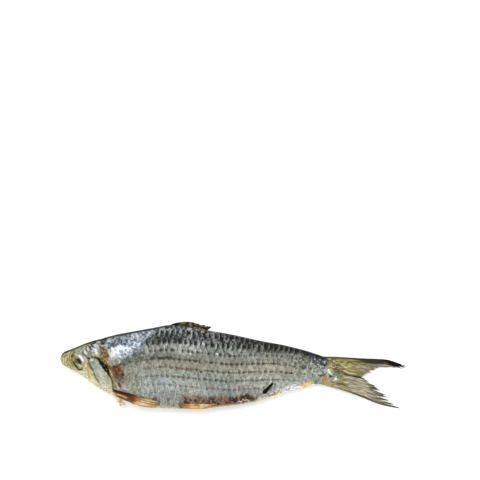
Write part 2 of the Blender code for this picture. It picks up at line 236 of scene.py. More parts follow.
def distance_to(along, up, places):
    """Distance to the places' curve, positive behind it, and the share of its length reached."""
    fine = np.linspace(0, 1, 8 * (len(places) - 1) + 1)
    x, y = curve_through(places, fine)
    best = np.full(np.shape(along), 1e9)
    signed, share = best.copy(), np.zeros_like(best)
    for i in range(len(fine) - 1):
        dx, dy = x[i + 1] - x[i], y[i + 1] - y[i]
        t = np.clip(((along - x[i]) * dx + (up - y[i]) * dy) / (dx * dx + dy * dy), 0, 1)
        off_x, off_y = along - x[i] - t * dx, up - y[i] - t * dy
        away = np.hypot(off_x, off_y)
        nearer = away < best
        best = np.where(nearer, away, best)
        signed = np.where(nearer, away * np.sign(dx * off_y - dy * off_x), signed)
        share = np.where(nearer, fine[i] + t * fine[1], share)
    return signed, share


def hashed(i, j, seed):
    """An even random value from 0 to 1 for each pair of whole numbers."""
    value = np.sin(i * 127.1 + j * 311.7 + seed * 74.7) * 43758.5453
    return value - np.floor(value)


def noise(x, y, seed):
    """Smooth random values from 0 to 1, about one rise or fall for each unit."""
    i, j = np.floor(x), np.floor(y)
    u, v = x - i, y - j
    u, v = u * u * (3 - 2 * u), v * v * (3 - 2 * v)
    low = hashed(i, j, seed) * (1 - u) + hashed(i + 1, j, seed) * u
    high = hashed(i, j + 1, seed) * (1 - u) + hashed(i + 1, j + 1, seed) * u
    return low * (1 - v) + high * v


def rough(x, y, seed):
    """Three octaves of noise."""
    coarse = 4 * noise(x, y, seed) + 2 * noise(2.1 * x, 2.1 * y, seed + 1)
    return (coarse + noise(4.3 * x, 4.3 * y, seed + 2)) / 7


def specks(along, up, size, share, seed):
    """1 on ragged specks of about a size, which take a share of the skin."""
    middle = 0.5 - 0.42 * (share - 0.5)
    return rise(rough(along / size, up / size, seed), middle - 0.05, middle + 0.05)


def blob(along, up, centre, long, short, lean=0.0, ragged=0.0, seed=0):
    """1 inside a soft-edged oval, whose long axis leans up by so many degrees."""
    x, y = turned(along - centre[0], up - centre[1], lean)
    r = np.hypot(x / long, y / short)
    if ragged:
        r = r + ragged * (rough(along * 1.1, up * 1.1, seed) - 0.5)
    return fall(r, 0.65, 1.15)


def stroke(along, up, places, width, ends=0.12):
    """1 along the places' curve, fading over the width and towards the curve's ends."""
    off, share = distance_to(along, up, places)
    return bump(off, width) * rise(share, 0, ends) * fall(share, 1 - ends, 1)


# --- Body shape


def station(along, column):
    share = np.asarray(along, float) / FLESH_LENGTH
    return smooth_through(share, BODY_STATIONS[:, 0], BODY_STATIONS[:, column])


def nose_cap(along):
    back = 1 - np.clip(np.asarray(along, float) / NOSE_ROUNDING, 0, 1)
    return np.sqrt(np.clip(1 - back * back, 0, 1))


def back_height(along):
    return BODY_DEPTH * station(along, 1) * nose_cap(along)


def belly_height(along):
    return BODY_DEPTH * station(along, 2) * nose_cap(along)


def half_thickness(along):
    return BODY_THICKNESS * station(along, 3) * nose_cap(along)


def middle_height(along):
    return BODY_THICKNESS * station(along, 4)


def section_bulge(turn):
    """The section's half thickness as a share of its largest, at a turn from the back to the belly."""
    lean = (1 - np.cos(turn)) / 2
    return np.sin(turn) ** (0.85 + 0.75 * lean**2) * (1 + 0.13 * np.cos(turn)) / 1.01


def flank_height(along, up, side=1):
    """Height over the floor of the bare flank at a place; side -1 is the under side."""
    top, bottom = back_height(along), belly_height(along)
    share = np.clip((up - (top + bottom) / 2) / np.maximum((top - bottom) / 2, 1e-6), -1, 1)
    return middle_height(along) + side * half_thickness(along) * section_bulge(np.arccos(share))


def seen(along, up):
    """Where a place on the upper flank looks to be from 10 degrees belly-side of straight above.

    All marks and scales are laid out as they look from there.
    """
    height = flank_height(along, up) - 4.7
    skew = 0.0016 * height * (along - 76) + 0.0022 * (along - 35) + 0.0003 * up * (62 - along)
    return along + skew, up + (0.082 + 0.0017 * up) * height + 0.003 * (along - 22)


def unseen(along, up):
    """The place on the fish that looks to be at (along, up): seen() the other way round."""
    along, up = np.asarray(along, float), np.asarray(up, float)
    place = along, up
    for _ in range(4):
        looks = seen(*place)
        place = place[0] + along - looks[0], place[1] + up - looks[1]
    return place


def eye_radius(along, up):
    """0 at the eye's centre and 1 on the rim of its oval."""
    x, y = turned(along - EYE_CENTRE[0], up - EYE_CENTRE[1], EYE_TILT)
    return np.hypot(x / EYE_LONG, y / EYE_SHORT)


def eye_relief(along, up):
    """A wrinkled rim and the sunken socket, which the eyeball fills."""
    r = eye_radius(along, up)
    front = 1 - 0.75 * rise(along - 0.6 * up, 6.5, 10.0)
    rim = (0.20 * bump(r - 1.1, 0.13) + 0.08 * bump(r - 1.34, 0.09) + 0.06 * bump(r - 1.58, 0.09)) * front
    return rim - 0.46 * fall(r, 0.72, 0.98)


def gill_width(share):
    """How far the slit gapes at a share of the gill cover's edge."""
    return GILL_GAP * bump(share - 0.38, 0.17)


def gill_relief(along, up):
    """The gill cover's raised edge, the open slit behind it, and the shoulder ridge behind that."""
    behind, share = distance_to(along, up, GILL_EDGE)
    cover = 0.36 * between(share, 0.05, 0.94, 0.06) * rise(behind, -6, -0.5) * fall(behind, -0.22, 0.05)
    width = gill_width(share)
    slit = between(share, 0.18, 0.64, 0.06) * rise(behind, -0.1, 0.2) * fall(behind, width, width + 0.4)
    off_ridge, reached = distance_to(along, up, SHOULDER_RIDGE)
    ridge = 0.22 * bump(off_ridge, 0.7) * between(reached, 0.1, 0.9, 0.1)
    folds = 0.05 * np.sin(4.2 * (behind + 0.3 * share)) * between(behind, 1.4, 5.5, 0.8)
    return cover - GILL_DEPTH * slit + ridge + folds * between(share, 0.1, 0.9, 0.1)


def cheek_relief(along, up):
    """The ridge between cheek and gill cover, the folds in front of it and the plates' fine ribs."""
    behind, share = distance_to(along, up, CHEEK_RIDGE)
    ridge = 0.26 * bump(behind + 0.3, 0.6) - 0.24 * bump(behind - 0.9, 0.4)
    folds = 0.08 * bump(behind + 2.1, 0.35) + 0.06 * bump(behind + 3.6, 0.3)
    ribs = 0.03 * np.sin(9 * behind + 3 * share) * between(behind, 1.6, 6.5, 0.6)
    return between(share, 0.08, 0.92, 0.08) * (ridge + folds + ribs)


def mouth_relief(along, up):
    """The shut mouth, the lip above it and the nostril."""
    off, share = distance_to(along, up, MOUTH)
    nostril = np.hypot(along - NOSTRIL[0], up - NOSTRIL[1])
    lips = 0.10 * bump(off - 0.9, 0.5) - 0.22 * bump(off, 0.26)
    return lips * fall(share, 0.8, 1) - 0.25 * bump(nostril, 0.4)


def snout_fold(along, up):
    """The folds of shrunken skin that curve round the front of the eye, from -1 to 1."""
    away = np.hypot(along - 8.8, 0.75 * (up + 0.6))
    return np.sin(6.0 * away + 0.9 + 1.6 * (noise(along * 0.6, up * 0.6, 2) - 0.5))


def snout_wrinkles(along, up):
    """Upright folds over the jaws, creases over the crown and a wrinkled throat."""
    snout = 0.08 * snout_fold(along, up) * between(along, 0.9, 5.0, 0.7)
    throat_fold = np.sin(3.4 * (along * 0.55 + up) + 1.5 * noise(along * 0.4, up * 0.4, 3))
    jaw = fall(up - belly_height(along), 1.4, 3.4) * between(along, 4, 20, 2)
    crown = fall(back_height(along) - up, 2.5, 4.5) * between(along, 6, 19, 1.5)
    return snout + 0.05 * throat_fold * jaw + 0.22 * (rough(along * 0.7, up * 0.9, 4) - 0.5) * crown


def flesh_relief(along, up):
    """Shrunken flesh: a furrow along the flank, a sunken belly band and soft uneven hollows."""
    belly = belly_height(along)
    depth_share = (up - belly) / np.maximum(back_height(along) - belly, 1e-6)
    furrow = -0.16 * bump(depth_share - 0.55, 0.06)
    band = -0.40 * bump(depth_share - 0.12, 0.07) * between(along, 51, 89, 7)
    nape = -0.25 * bump(np.hypot((along - 19) / 3.5, (up - 7.5) / 2.2), 1)
    uneven = 0.10 * np.sin(0.21 * along + 0.6 * up) + 0.07 * np.sin(0.43 * along - 0.31 * up + 1)
    folds = 0.16 * (rough(along * 0.16, up * 0.35, 8) - 0.5)
    tail_root = 0.30 * (rough(along * 0.55, up * 0.7, 9) - 0.5) * between(along, 114, 123, 2)
    return between(along, 31, 106, 8) * (furrow + band + uneven + folds) + nape + tail_root


def row_number(along, up):
    """Rows of scales counted from the one along the middle of the flank, up to the back."""
    return (up - graph(along, MIDDLE_ROW)) / graph(along, ROW_SPACING)


def scales(along, up):
    """The overlapping scales: for the one that shows at each place, how near its free edge is (0 on
    it), how far behind its centre and how high in its row the place is, its row, a random value of
    its own, and how much the scale in front shades the place."""
    rows = row_number(along, up)
    column = along / SCALE_PITCH + 0.4 * (noise(along * 0.13, up * 0.16, 21) - 0.5)
    front = np.full(np.shape(along), 1e9)
    scale = dict.fromkeys(("edge", "back", "high", "row", "chance"), np.zeros_like(front))
    near = []
    for row_step, column_step in itertools.product((-1, 0, 1), (-2, -1, 0, 1)):
        row = np.round(rows) + row_step
        offset = 0.5 * (row % 2)
        centre = np.floor(column - offset) + column_step + offset
        chance = hashed(centre * 2, row, 5)
        back, high = (column - centre) / (1.02 + 0.16 * (chance - 0.5)), rows - row
        away = np.hypot(back, high / 0.96)
        shown = (away < 1) & (centre < front)
        front = np.where(shown, centre, front)
        for name, value in zip(scale, (1 - away, back, high, row, chance)):
            scale[name] = np.where(shown, value, scale[name])
        near.append((away, centre))
    shades = [
        np.where((away >= 1) & (centre < front), np.exp(-(away - 1) / 0.13), 0) for away, centre in near
    ]
    return SimpleNamespace(**scale, shade=np.max(shades, axis=0))


def scale_relief(along, up, scale):
    """Each scale rises a little to its free edge; a few stand up. They end at the head and the tail."""
    nape = rise(along, 18, 21) * rise(up, 2.0, 4.0)
    behind_head = np.maximum(rise(distance_to(along, up, SHOULDER_RIDGE)[0], 0.3, 2.4), nape)
    height = np.exp(-scale.edge / 0.28) - 0.45 - 0.35 * scale.shade
    return SCALE_THICKNESS * (1 + (scale.chance > 0.9)) * height * behind_head * fall(along, 119, 124)


def belly_scutes(along, up):
    """The saw edge along the keel of the belly."""
    keel = bump((up - belly_height(along)) / 1.2, 1)
    return 0.16 * keel * ((along / 2.3) % 1 - 0.5) * between(along, 28, 86, 3)


def relief(along, up, looks, scale):
    head = eye_relief(*looks) + gill_relief(*looks) + cheek_relief(*looks) + mouth_relief(*looks)
    body = snout_wrinkles(*looks) + flesh_relief(along, up) + belly_scutes(along, up)
    return head + body + scale_relief(*looks, scale)


def rest_on_floor(height):
    eased = (height + FLOOR_EASE) ** 2 / (4 * FLOOR_EASE)
    return np.where(height > FLOOR_EASE, height, np.where(height < -FLOOR_EASE, 0, eased))


def ring_points(ring, turn):
    """(along, up) of points on a ring that leans like the gill cover's edge where it is near it."""
    along = ring + 0 * turn
    for _ in range(6):
        top, bottom = back_height(along), belly_height(along)
        up = (top + bottom) / 2 + (top - bottom) / 2 * np.cos(turn)
        gill = smooth_through(up, GILL_LINE[:, 1], GILL_LINE[:, 0])
        past = gill + (ring - GILL_RING) * (STRAIGHT_RING - gill) / (STRAIGHT_RING - GILL_RING)
        leaning = np.where(ring < GILL_RING, ring * gill / GILL_RING, past)
        along = np.where(ring < STRAIGHT_RING, leaning, ring)
    return along, up


def ring_stations():
    """Where the body's rings are: closest together at the gill slit."""
    nose = NOSE_ROUNDING * (1 - np.cos(np.linspace(0, math.pi / 2, 14)))[1:-1]
    stops = NOSE_ROUNDING, GILL_RING - 1.4, GILL_RING + 2.0, FLESH_END
    runs = zip(stops, stops[1:], (HEAD_STEP, GILL_STEP, BODY_STEP))
    rings = [np.linspace(start, end, round((end - start) / step) + 1)[:-1] for start, end, step in runs]
    return np.concatenate((nose, *rings, [FLESH_END]))


# --- Paint: colours are display values

BLACK = (20, 19, 17)
GOLD = (214, 178, 108)
CREAM = (236, 226, 186)
THROAT = (218, 208, 176)
BLOOD = (72, 42, 28)
# Painted shadow: a black line in the groove under the eyeball, laid on the skin and on the eyeball
EYE_GROOVE_SHADOW = ((14, 13, 8), 1.0, ((5.6, -1.3), (6.6, -2.7), (7.7, -3.9), (8.6, -4.7), (10.4, -4.2)), 0.52, 0.06)

# The flank from the belly's edge to the ridge of the back: a row number and the colour there
FLANK = np.array(
    (
        (-6.0, 150, 149, 139),
        (-4.5, 148, 152, 146),
        (-3.0, 169, 175, 168),
        (-1.5, 148, 152, 141),
        (-0.5, 150, 149, 134),
        (0.5, 128, 131, 121),
        (1.4, 146, 149, 146),
        (2.3, 92, 95, 94),
        (4.2, 66, 69, 69),
    )
)
# How dark the spots of a row of scales are, and the thin line along the row through them, by row number
ROW_SPOTS = (
    *((-5, 0.0), (-4, 0.30), (-3, 0.45), (-2, 0.65), (-1, 0.75)),
    *((0, 0.95), (1, 0.95), (2, 1.0), (4, 0.8)),
)
ROW_LINES = ((-5, 0.1), (-4, 0.35), (-3, 0.7), (0, 1), (1, 0.5), (3, 0.2))

# Marks: a colour, a strength, then an oval's centre, half length, half width, lean in degrees and
# raggedness, or a line's places and width. A mark's row seeds the raggedness of its edge.
HEAD_MARKS = (
    ((88, 74, 42), 0.6, (1.7, 1.0), 1.1, 0.7, 30, 0.5),
    ((96, 88, 50), 0.7, (3.6, -0.4), 0.7, 0.6, 0, 0.4),
    ((166, 142, 82), 0.6, (4.9, -3.0), 1.9, 0.8, -45, 0.5),
    ((150, 144, 106), 0.8, ((4.4, 3.4), (8.0, 4.9), (11.4, 6.6)), 0.7),
    ((66, 60, 36), 0.6, ((5.2, 3.3), (7.2, 4.4), (9.0, 4.3), (10.6, 3.4)), 0.34),
    ((176, 168, 116), 0.6, ((8.2, 5.3), (10.6, 6.1), (14.0, 7.3)), 0.4),
    ((150, 158, 168), 0.8, (8.9, 4.2), 1.6, 0.6, -30, 0.4),
    ((208, 212, 208), 0.9, (10.9, 3.0), 1.1, 0.8, -45, 0.4),
    ((118, 116, 96), 0.7, (13.2, 3.2), 1.4, 0.9, -30, 0.6),
    # Painted highlights: white glare spots on the head behind the eye
    ((228, 234, 238), 0.9, ((15.0, 5.4), (15.6, 4.0), (15.9, 2.4)), 0.62),
    ((232, 236, 236), 0.8, (14.6, 6.4), 0.7, 0.5, 20, 0.5),
    ((38, 34, 24), 0.85, ((13.1, 7.2), (14.0, 6.1), (15.0, 6.6)), 0.32),
    ((42, 38, 26), 0.8, ((16.8, 6.3), (17.8, 5.2), (18.6, 5.6)), 0.36),
    ((30, 28, 18), 0.8, (18.7, 7.4), 1.0, 0.5, 40, 0.5),
    ((120, 112, 82), 0.7, (13.2, 1.6), 1.2, 1.2, 30, 0.5),
    ((150, 158, 156), 0.75, (15.0, -2.6), 1.4, 2.6, 24, 0.5),
    ((126, 136, 138), 0.6, (14.6, -1.0), 0.9, 1.2, 10, 0.6),
    ((160, 168, 166), 0.7, (16.9, -3.4), 0.8, 2.0, 30, 0.5),
    ((200, 204, 184), 0.6, (18.8, -7.4), 1.3, 4.2, 24, 0.4),
    ((160, 166, 158), 0.6, (16.9, -6.4), 0.9, 3.2, 22, 0.5),
    ((196, 200, 210), 0.5, (19.2, -11.0), 1.2, 1.2, 0, 0.4),
    ((58, 54, 34), 0.9, ((11.4, 1.0), (12.5, -0.8), (13.4, -2.9), (14.2, -4.2)), 0.46),
    ((84, 76, 46), 0.95, ((13.2, -2.4), (15.0, -5.2), (15.8, -7.4), (17.4, -9.6), (19.0, -12.6)), 0.34),
    ((142, 128, 74), 0.7, ((11.6, -0.6), (12.4, -3.2), (12.9, -5.9), (13.4, -9.4)), 0.30),
    ((214, 206, 160), 0.6, ((10.6, -3.0), (11.6, -5.4), (12.0, -7.8)), 0.34),
    ((230, 226, 196), 0.8, ((8.0, -5.6), (9.8, -5.9), (11.0, -5.4)), 0.32),
    ((226, 222, 188), 0.6, ((11.2, -7.4), (11.8, -9.2), (12.4, -10.8)), 0.36),
)
EYE_MARKS = (
    # Painted reflection: the pale blue-grey glare band over the socket's rear edge
    ((162, 172, 184), 0.92, ((6.2, 3.6), (7.9, 3.1), (9.6, 1.7), (11.6, -0.2)), 0.72),
    ((84, 90, 100), 0.7, ((6.8, 3.7), (8.6, 2.9), (10.6, 1.2)), 0.20),
    ((22, 21, 14), 0.9, ((9.2, 3.4), (10.6, 2.2), (11.5, 1.0), (12.9, 0.5)), 0.38),
    ((196, 194, 160), 0.7, ((10.8, 1.4), (12.0, -0.4), (12.4, -1.8)), 0.24),
    ((48, 46, 30), 0.8, (5.3, 1.4), 0.9, 0.6, 40, 0.4),
    # painted shadow in the groove under the eyeball
    EYE_GROOVE_SHADOW,
    ((226, 222, 176), 0.6, ((10.6, -4.4), (11.4, -3.2), (11.7, -1.6)), 0.34),
    ((152, 142, 90), 0.5, ((11.2, -4.8), (12.1, -3.2), (12.2, -1.4)), 0.22),
)
EYEBALL_MARKS = (
    ((66, 50, 32), 0.85, (5.5, 1.3), 0.9, 0.7, 40, 0.3),
    ((190, 184, 132), 0.7, (6.9, 1.9), 1.1, 0.5, -30, 0.4),
    ((70, 62, 34), 0.8, ((6.3, 1.0), (6.9, -0.6), (8.2, -2.4)), 0.28),
    ((206, 200, 150), 0.8, (8.9, -2.9), 1.2, 0.6, -50, 0.4),
    # Painted highlight: a white glint on the eyeball's rear corner
    ((244, 246, 242), 1.0, ((8.1, 1.6), (9.2, 0.8), (10.2, -0.3), (10.9, -0.9)), 0.62, 0.06),
    ((244, 246, 242), 1.0, (9.9, -0.1), 1.0, 0.7, -45),
    ((7, 6, 6), 1.0, (8.4, -1.0), 1.75, 0.9, -56),
    # painted shadow in the groove under the eyeball
    EYE_GROOVE_SHADOW,
)
GILL_MARKS = (
    ((206, 170, 84), 0.8, ((19.4, 0.8), (20.9, -0.6), (22.0, -2.4)), 0.36),
    ((40, 32, 18), 0.85, ((18.6, 1.0), (20.3, -0.6), (21.6, -2.8), (22.2, -4.4)), 0.24),
    ((222, 222, 176), 0.8, ((21.2, 5.4), (21.6, 3.4), (22.6, 1.4), (23.2, 0.0)), 0.34),
    ((60, 46, 26), 0.9, ((21.6, -5.4), (22.8, -7.2), (23.6, -9.0), (24.1, -11.6), (24.0, -13.0)), 0.26),
    ((158, 134, 80), 0.8, ((22.6, -4.6), (24.0, -7.4), (24.8, -10.4), (24.9, -12.8)), 0.50),
    ((208, 190, 150), 0.8, ((22.0, -3.6), (22.9, -5.4), (23.5, -7.0)), 0.30),
    ((44, 26, 22), 0.9, (28.2, -6.0), 0.9, 0.7, 0, 0.5),
    ((146, 146, 108), 0.6, (24.9, -0.4), 1.6, 1.2, 10, 0.9),
    # Painted highlight: a pale glint arcing round the olive-green patch
    ((218, 216, 190), 0.8, ((25.0, 0.9), (26.5, 0.2), (26.2, -1.4)), 0.3),
    ((38, 30, 20), 0.9, ((22.8, -2.3), (24.4, -2.6), (25.8, -2.0), (26.9, -1.2), (29.4, -2.0)), 0.30),
    ((206, 188, 166), 0.85, ((24.9, -9.4), (26.0, -10.8), (26.8, -12.8)), 0.28),
    ((206, 188, 166), 0.85, ((28.0, -9.9), (29.4, -11.5), (31.0, -13.2)), 0.28),
    ((70, 46, 36), 0.85, (27.0, -10.9), 1.4, 0.6, -60, 0.5),
    ((118, 88, 78), 0.6, (28.9, -12.9), 1.6, 0.5, -20, 0.6),
)
SLIT_MARKS = (
    ((14, 9, 6), 0.95, (14.2, 1.1), 0.6, 0.45, -30, 0.3),
    ((14, 9, 6), 0.97, ((14.8, 1.3), (16.2, 0.8), (17.7, 0.1)), 0.74, 0.10),
    ((10, 8, 6), 0.9, (12.8, 0.4), 0.6, 0.5, 0, 0.3),
    # Painted highlight: a white glint on the gill cover's edge
    ((246, 246, 232), 0.9, (14.2, -0.2), 0.5, 0.4, -20, 0.3),
    ((200, 186, 160), 0.5, (19.5, -2.3), 0.3, 0.18, -40),
    ((226, 222, 210), 0.6, (20.6, -4.0), 0.25, 0.2, -40),
)
BELLY_MARKS = (
    ((166, 168, 190), 0.35, (47.0, -7.6), 2.8, 1.0, 0, 0.7),
    ((196, 176, 168), 0.30, (60, -12.8), 4.5, 1.5, 0, 0.7),
    ((188, 184, 128), 0.45, (57.8, -10.2), 1.0, 0.8, 0, 0.5),
    ((104, 62, 34), 0.85, ((51.5, -1.7), (55, -2.0), (59.4, -2.7)), 0.3),
    *((BLOOD, 0.85, spot, 0.8, 0.6) for spot in ((100.8, -1.4), (103.0, -1.3), (108.2, 1.2), (63.0, -2.9))),
    ((84, 30, 30), 0.8, (74.5, 5.9), 0.8, 0.5),
    ((112, 70, 36), 0.8, (86.8, -14.4), 1.9, 1.1, 20, 0.6),
    ((96, 52, 42), 0.65, (43.0, -16.0), 1.2, 1.3, 0, 0.7),
    # Painted highlight: a small white glint high on the flank
    ((236, 240, 238), 0.9, (69.7, 5.5), 0.6, 0.5),
)
TAIL_ROOT_MARKS = (
    ((26, 28, 30), 0.85, ((120.4, -4.2), (122.2, -4.8), (124.2, -4.2)), 0.3),
    ((26, 28, 30), 0.85, ((119.6, -0.6), (121.2, -2.0), (122.6, -1.6)), 0.3),
    # Painted highlights: white-blue glints
    ((204, 222, 208), 0.8, (119.6, 0.9), 0.9, 0.4, 30, 0.6),
    ((236, 246, 255), 0.95, (123.2, -3.0), 0.9, 0.6, -30, 0.5),
    ((226, 236, 232), 0.85, (120.2, 0.2), 0.7, 0.35, -40, 0.5),
    ((200, 146, 58), 0.8, (120.5, -5.4), 2.6, 1.0, -32, 0.8),
)
MARK_SEEDS = 130
# Wet-looking places: how wet, then an oval
WET = (
    (0.7, (27, 5.5), 8.5, 4.5, 24),
    (0.5, (11, 1.5), 3.0, 3.0),
    (0.6, (122.4, -2.5), 2.6, 1.5, -40),
    (0.4, (103.6, -7.2), 4.6, 1.6, 24),
)


class Paint:
    """Colours at places on the side, with short calls that lay more over them inside a mask."""

    def __init__(self, along, up):
        self.along, self.up = along, up
        self.rim, self.ridge = up - belly_height(along), back_height(along) - up
        self.colour = np.zeros(np.shape(along) + (3,))

    def lay(self, colour, mask=1, light=1):
        """Lay a colour, made lighter or darker, over the places where the mask is 1."""
        mask, light = np.asarray(mask)[..., None], np.asarray(light)[..., None]
        self.colour = self.colour * (1 - mask) + srgb(*colour) * light * mask

    def shade(self, light):
        self.colour = self.colour * light[..., None]

    def blob(self, *oval):
        return blob(self.along, self.up, *oval)

    def specks(self, size, share, seed, slant=0, squash=1, stretch=1):
        return specks(self.along * stretch + slant * self.up, self.up * squash, size, share, seed)

    def speckle(self, mask, *layers):
        """Lay specks inside a mask: a colour, a strength, their size, their share, and so on."""
        for colour, strength, *kind in layers:
            self.lay(colour, mask * self.specks(*kind) * strength)

    def mark(self, *marks):
        """Lay marks: a colour, a strength and a line, or an oval with or without a seed."""
        for row, (colour, strength, places, *size) in enumerate(marks):
            if np.ndim(places) == 2:
                mask = stroke(self.along, self.up, places, *size)
            elif len(size) == 5:
                mask = self.blob(places, *size)
            else:
                mask = blob(self.along, self.up, places, *size, seed=row + MARK_SEEDS)
            self.lay(colour, mask * strength)


def flank_paint(paint, scale):
    """Scales in rows: painted highlights on their free edges and painted shadow behind them, dark spots along
    each row, and a mottled dark back.
    """
    along, up, chance = paint.along, paint.up, scale.chance
    row = row_number(along, up)
    rear, upper = rise(along, 62, 98), rise(row, 0.4, 1.8)
    paint.colour = np.stack([np.interp(row, FLANK[:, 0], channel) for channel in srgb(*FLANK[:, 1:].T)], -1)
    paint.shade(1 - rear * rise(row, 0.7, 1.7) * 0.50)
    paint.colour *= 1 + (rear * fall(np.abs(row + 1.2), 1.2, 2.6))[..., None] * (0.20, 0.20, 0.18)
    paint.shade(1 - 0.24 * paint.blob((78, -9.5), 14, 5, -4))
    paint.mark(((122, 112, 88), 0.38, (31.5, -9.8), 5.5, 5.5, 0, 0.6, 10))
    paint.shade(1 - 0.22 * paint.blob((31.0, -0.6), 6.5, 3.0, 12))
    paint.mark(((166, 146, 132), 0.16, (89, -8.0), 13, 6, 10))

    cloud = rough(along * 0.35, up * 0.5, 11)
    grain = rough(along * 1.05, up * 1.05, 12)
    streaks = rough(along * 1.9, up * 0.6, 13)
    light = 1 + 0.25 * (cloud - 0.5) + (0.70 + 1.3 * upper + 0.6 * rear) * (grain - 0.5)
    light = light + (0.60 + 0.8 * upper) * (streaks - 0.5) + (0.22 + 0.5 * upper) * (chance - 0.5)
    paint.shade(np.clip(light, 0.18, 2.1))

    # Painted highlight on each scale's raised free edge, and painted shadow just behind it where the scale in
    # front overlaps
    edge = bump(scale.edge - 0.08, 0.08 + 0.03 * upper) * bump(scale.high, 0.42) * (0.5 + 0.5 * chance)
    paint.lay((208, 212, 204), edge * (0.34 + 0.50 * upper + 0.14 * rear * (1 - upper)))
    paint.shade(1 - scale.shade * (0.32 + 0.44 * upper))

    start = rise(along, 31, 44)
    dark = np.interp(scale.row, *np.transpose(ROW_SPOTS)) * start * (1 - 0.55 * rise(along, 94, 110))
    spot = bump(scale.back - 0.28 - 0.2 * (chance - 0.5), 0.28 + 0.12 * chance)
    spot = spot * bump(scale.high + 0.03, 0.17 + 0.09 * upper)
    spot = np.clip(1.15 * spot, 0, 1) * (1 - upper) + rise(spot, 0.34, 0.66) * upper
    missing = hashed(scale.row, np.round(along / SCALE_PITCH), 9)
    paint.lay(BLACK, spot * dark * (0.35 + 0.65 * rise(missing, 0.1, 0.4)))
    line = bump(np.abs(row - np.round(row) + 0.07 * (grain - 0.5)), 0.085)
    line = line * np.interp(np.round(row), *np.transpose(ROW_LINES)) * start * rise(cloud, 0.2, 0.6)
    paint.lay((62, 62, 50), line * (0.75 - 0.45 * rise(along, 92, 108)))
    last = rise(along, 90, 108) * rise(row, -2.2, -0.2)
    paint.speckle(last, ((52, 56, 58), 0.75, 0.75, 0.34, 20, -0.3))
    paint.speckle(last, ((176, 182, 174), 0.6, 0.7, 0.24, 21, 0.4))
    mottle = rise(row + 0.8 * (cloud - 0.5), 1.75, 2.5)
    paint.speckle(mottle, (BLACK, 0.8, 0.85, 0.44, 14, 0.4, 0.8))
    paint.speckle(mottle * (0.8 - 0.45 * rear), ((176, 182, 186), 1, 0.75, 0.26, 15, -0.5, 0.7))


def dark_band(along, up):
    """1 on the darkest rows of the back, in front."""
    above = row_number(along, up) - 2.24 - 0.016 * (along - 42)
    return between(above, -0.50, 0.55, 0.22) * between(along, 40.5, 79, 2.4)


def ridge_paint(paint, scale):
    """Greenish black along the ridge of the back, with bare silvery patches, and under it black spots
    and painted highlights on the free edges of scales that still show."""
    along, up, ridge = paint.along, paint.up, paint.ridge
    soot = fall(ridge + 2.4 * rise(along, 88, 103), 3.4, 6.0) * rise(along, 60, 74)
    paint.lay((24, 23, 16), soot * 0.88)
    strokes = rise(along, 58, 74) * fall(ridge, 4.6, 7.0) * rise(ridge, 1.0, 3.0)
    paint.speckle(strokes, ((126, 124, 102), 0.75, 0.62, 0.30, 18, -0.35, 0.7))
    paint.speckle(soot, ((6, 6, 4), 0.9, 0.8, 0.40, 16, -0.35, 0.8))
    band, front = dark_band(along, up), fall(along, 50, 58)
    paint.speckle(band * (0.84 + 0.12 * front), ((8, 8, 9), 1, 1.0, 0.52, 17, -0.35, 0.8))
    paint.shade(1 - 0.74 * band * front)
    paint.speckle(band, ((150, 154, 156), 0.7, 0.7, 0.22, 19, 0, 0.8))
    bare = paint.blob((55.3, 6.6), 4.8, 2.8, 0, 0.5, 31)
    paint.speckle(bare, ((206, 209, 208), 0.5, 0.9, 0.55, 32, 0, 0.6))
    for place in ((50.8, 12.7), (62.5, 9.6)):
        paint.speckle(paint.blob(place, 1.6, 1.1, 30, 0.8, 33), ((200, 205, 206), 0.8, 0.8, 0.6, 30))
    paint.speckle(paint.blob((88.5, 8.4), 3.6, 2.4, 70, 0.6, 34), ((162, 165, 172), 0.35, 0.9, 0.42, 35))

    rows = rise(row_number(along, up), 1.45, 1.8) * between(along, 41, 106, 3)
    # Painted highlights on the free edges of the scales
    edge = bump(scale.edge - 0.07, 0.09) * bump(scale.high, 0.42) * (0.35 + 0.5 * scale.chance)
    paint.lay((166, 169, 170), rows * edge * (1 - 0.5 * rise(along, 66, 80)))
    spot = rise(bump(scale.back - 0.15, 0.42) * bump(scale.high, 0.33), 0.34, 0.62)
    paint.lay((10, 10, 9), rows * spot * (0.45 + 0.45 * rise(scale.chance, 0.1, 0.6)))
    paint.shade(1 - 0.45 * band * front)


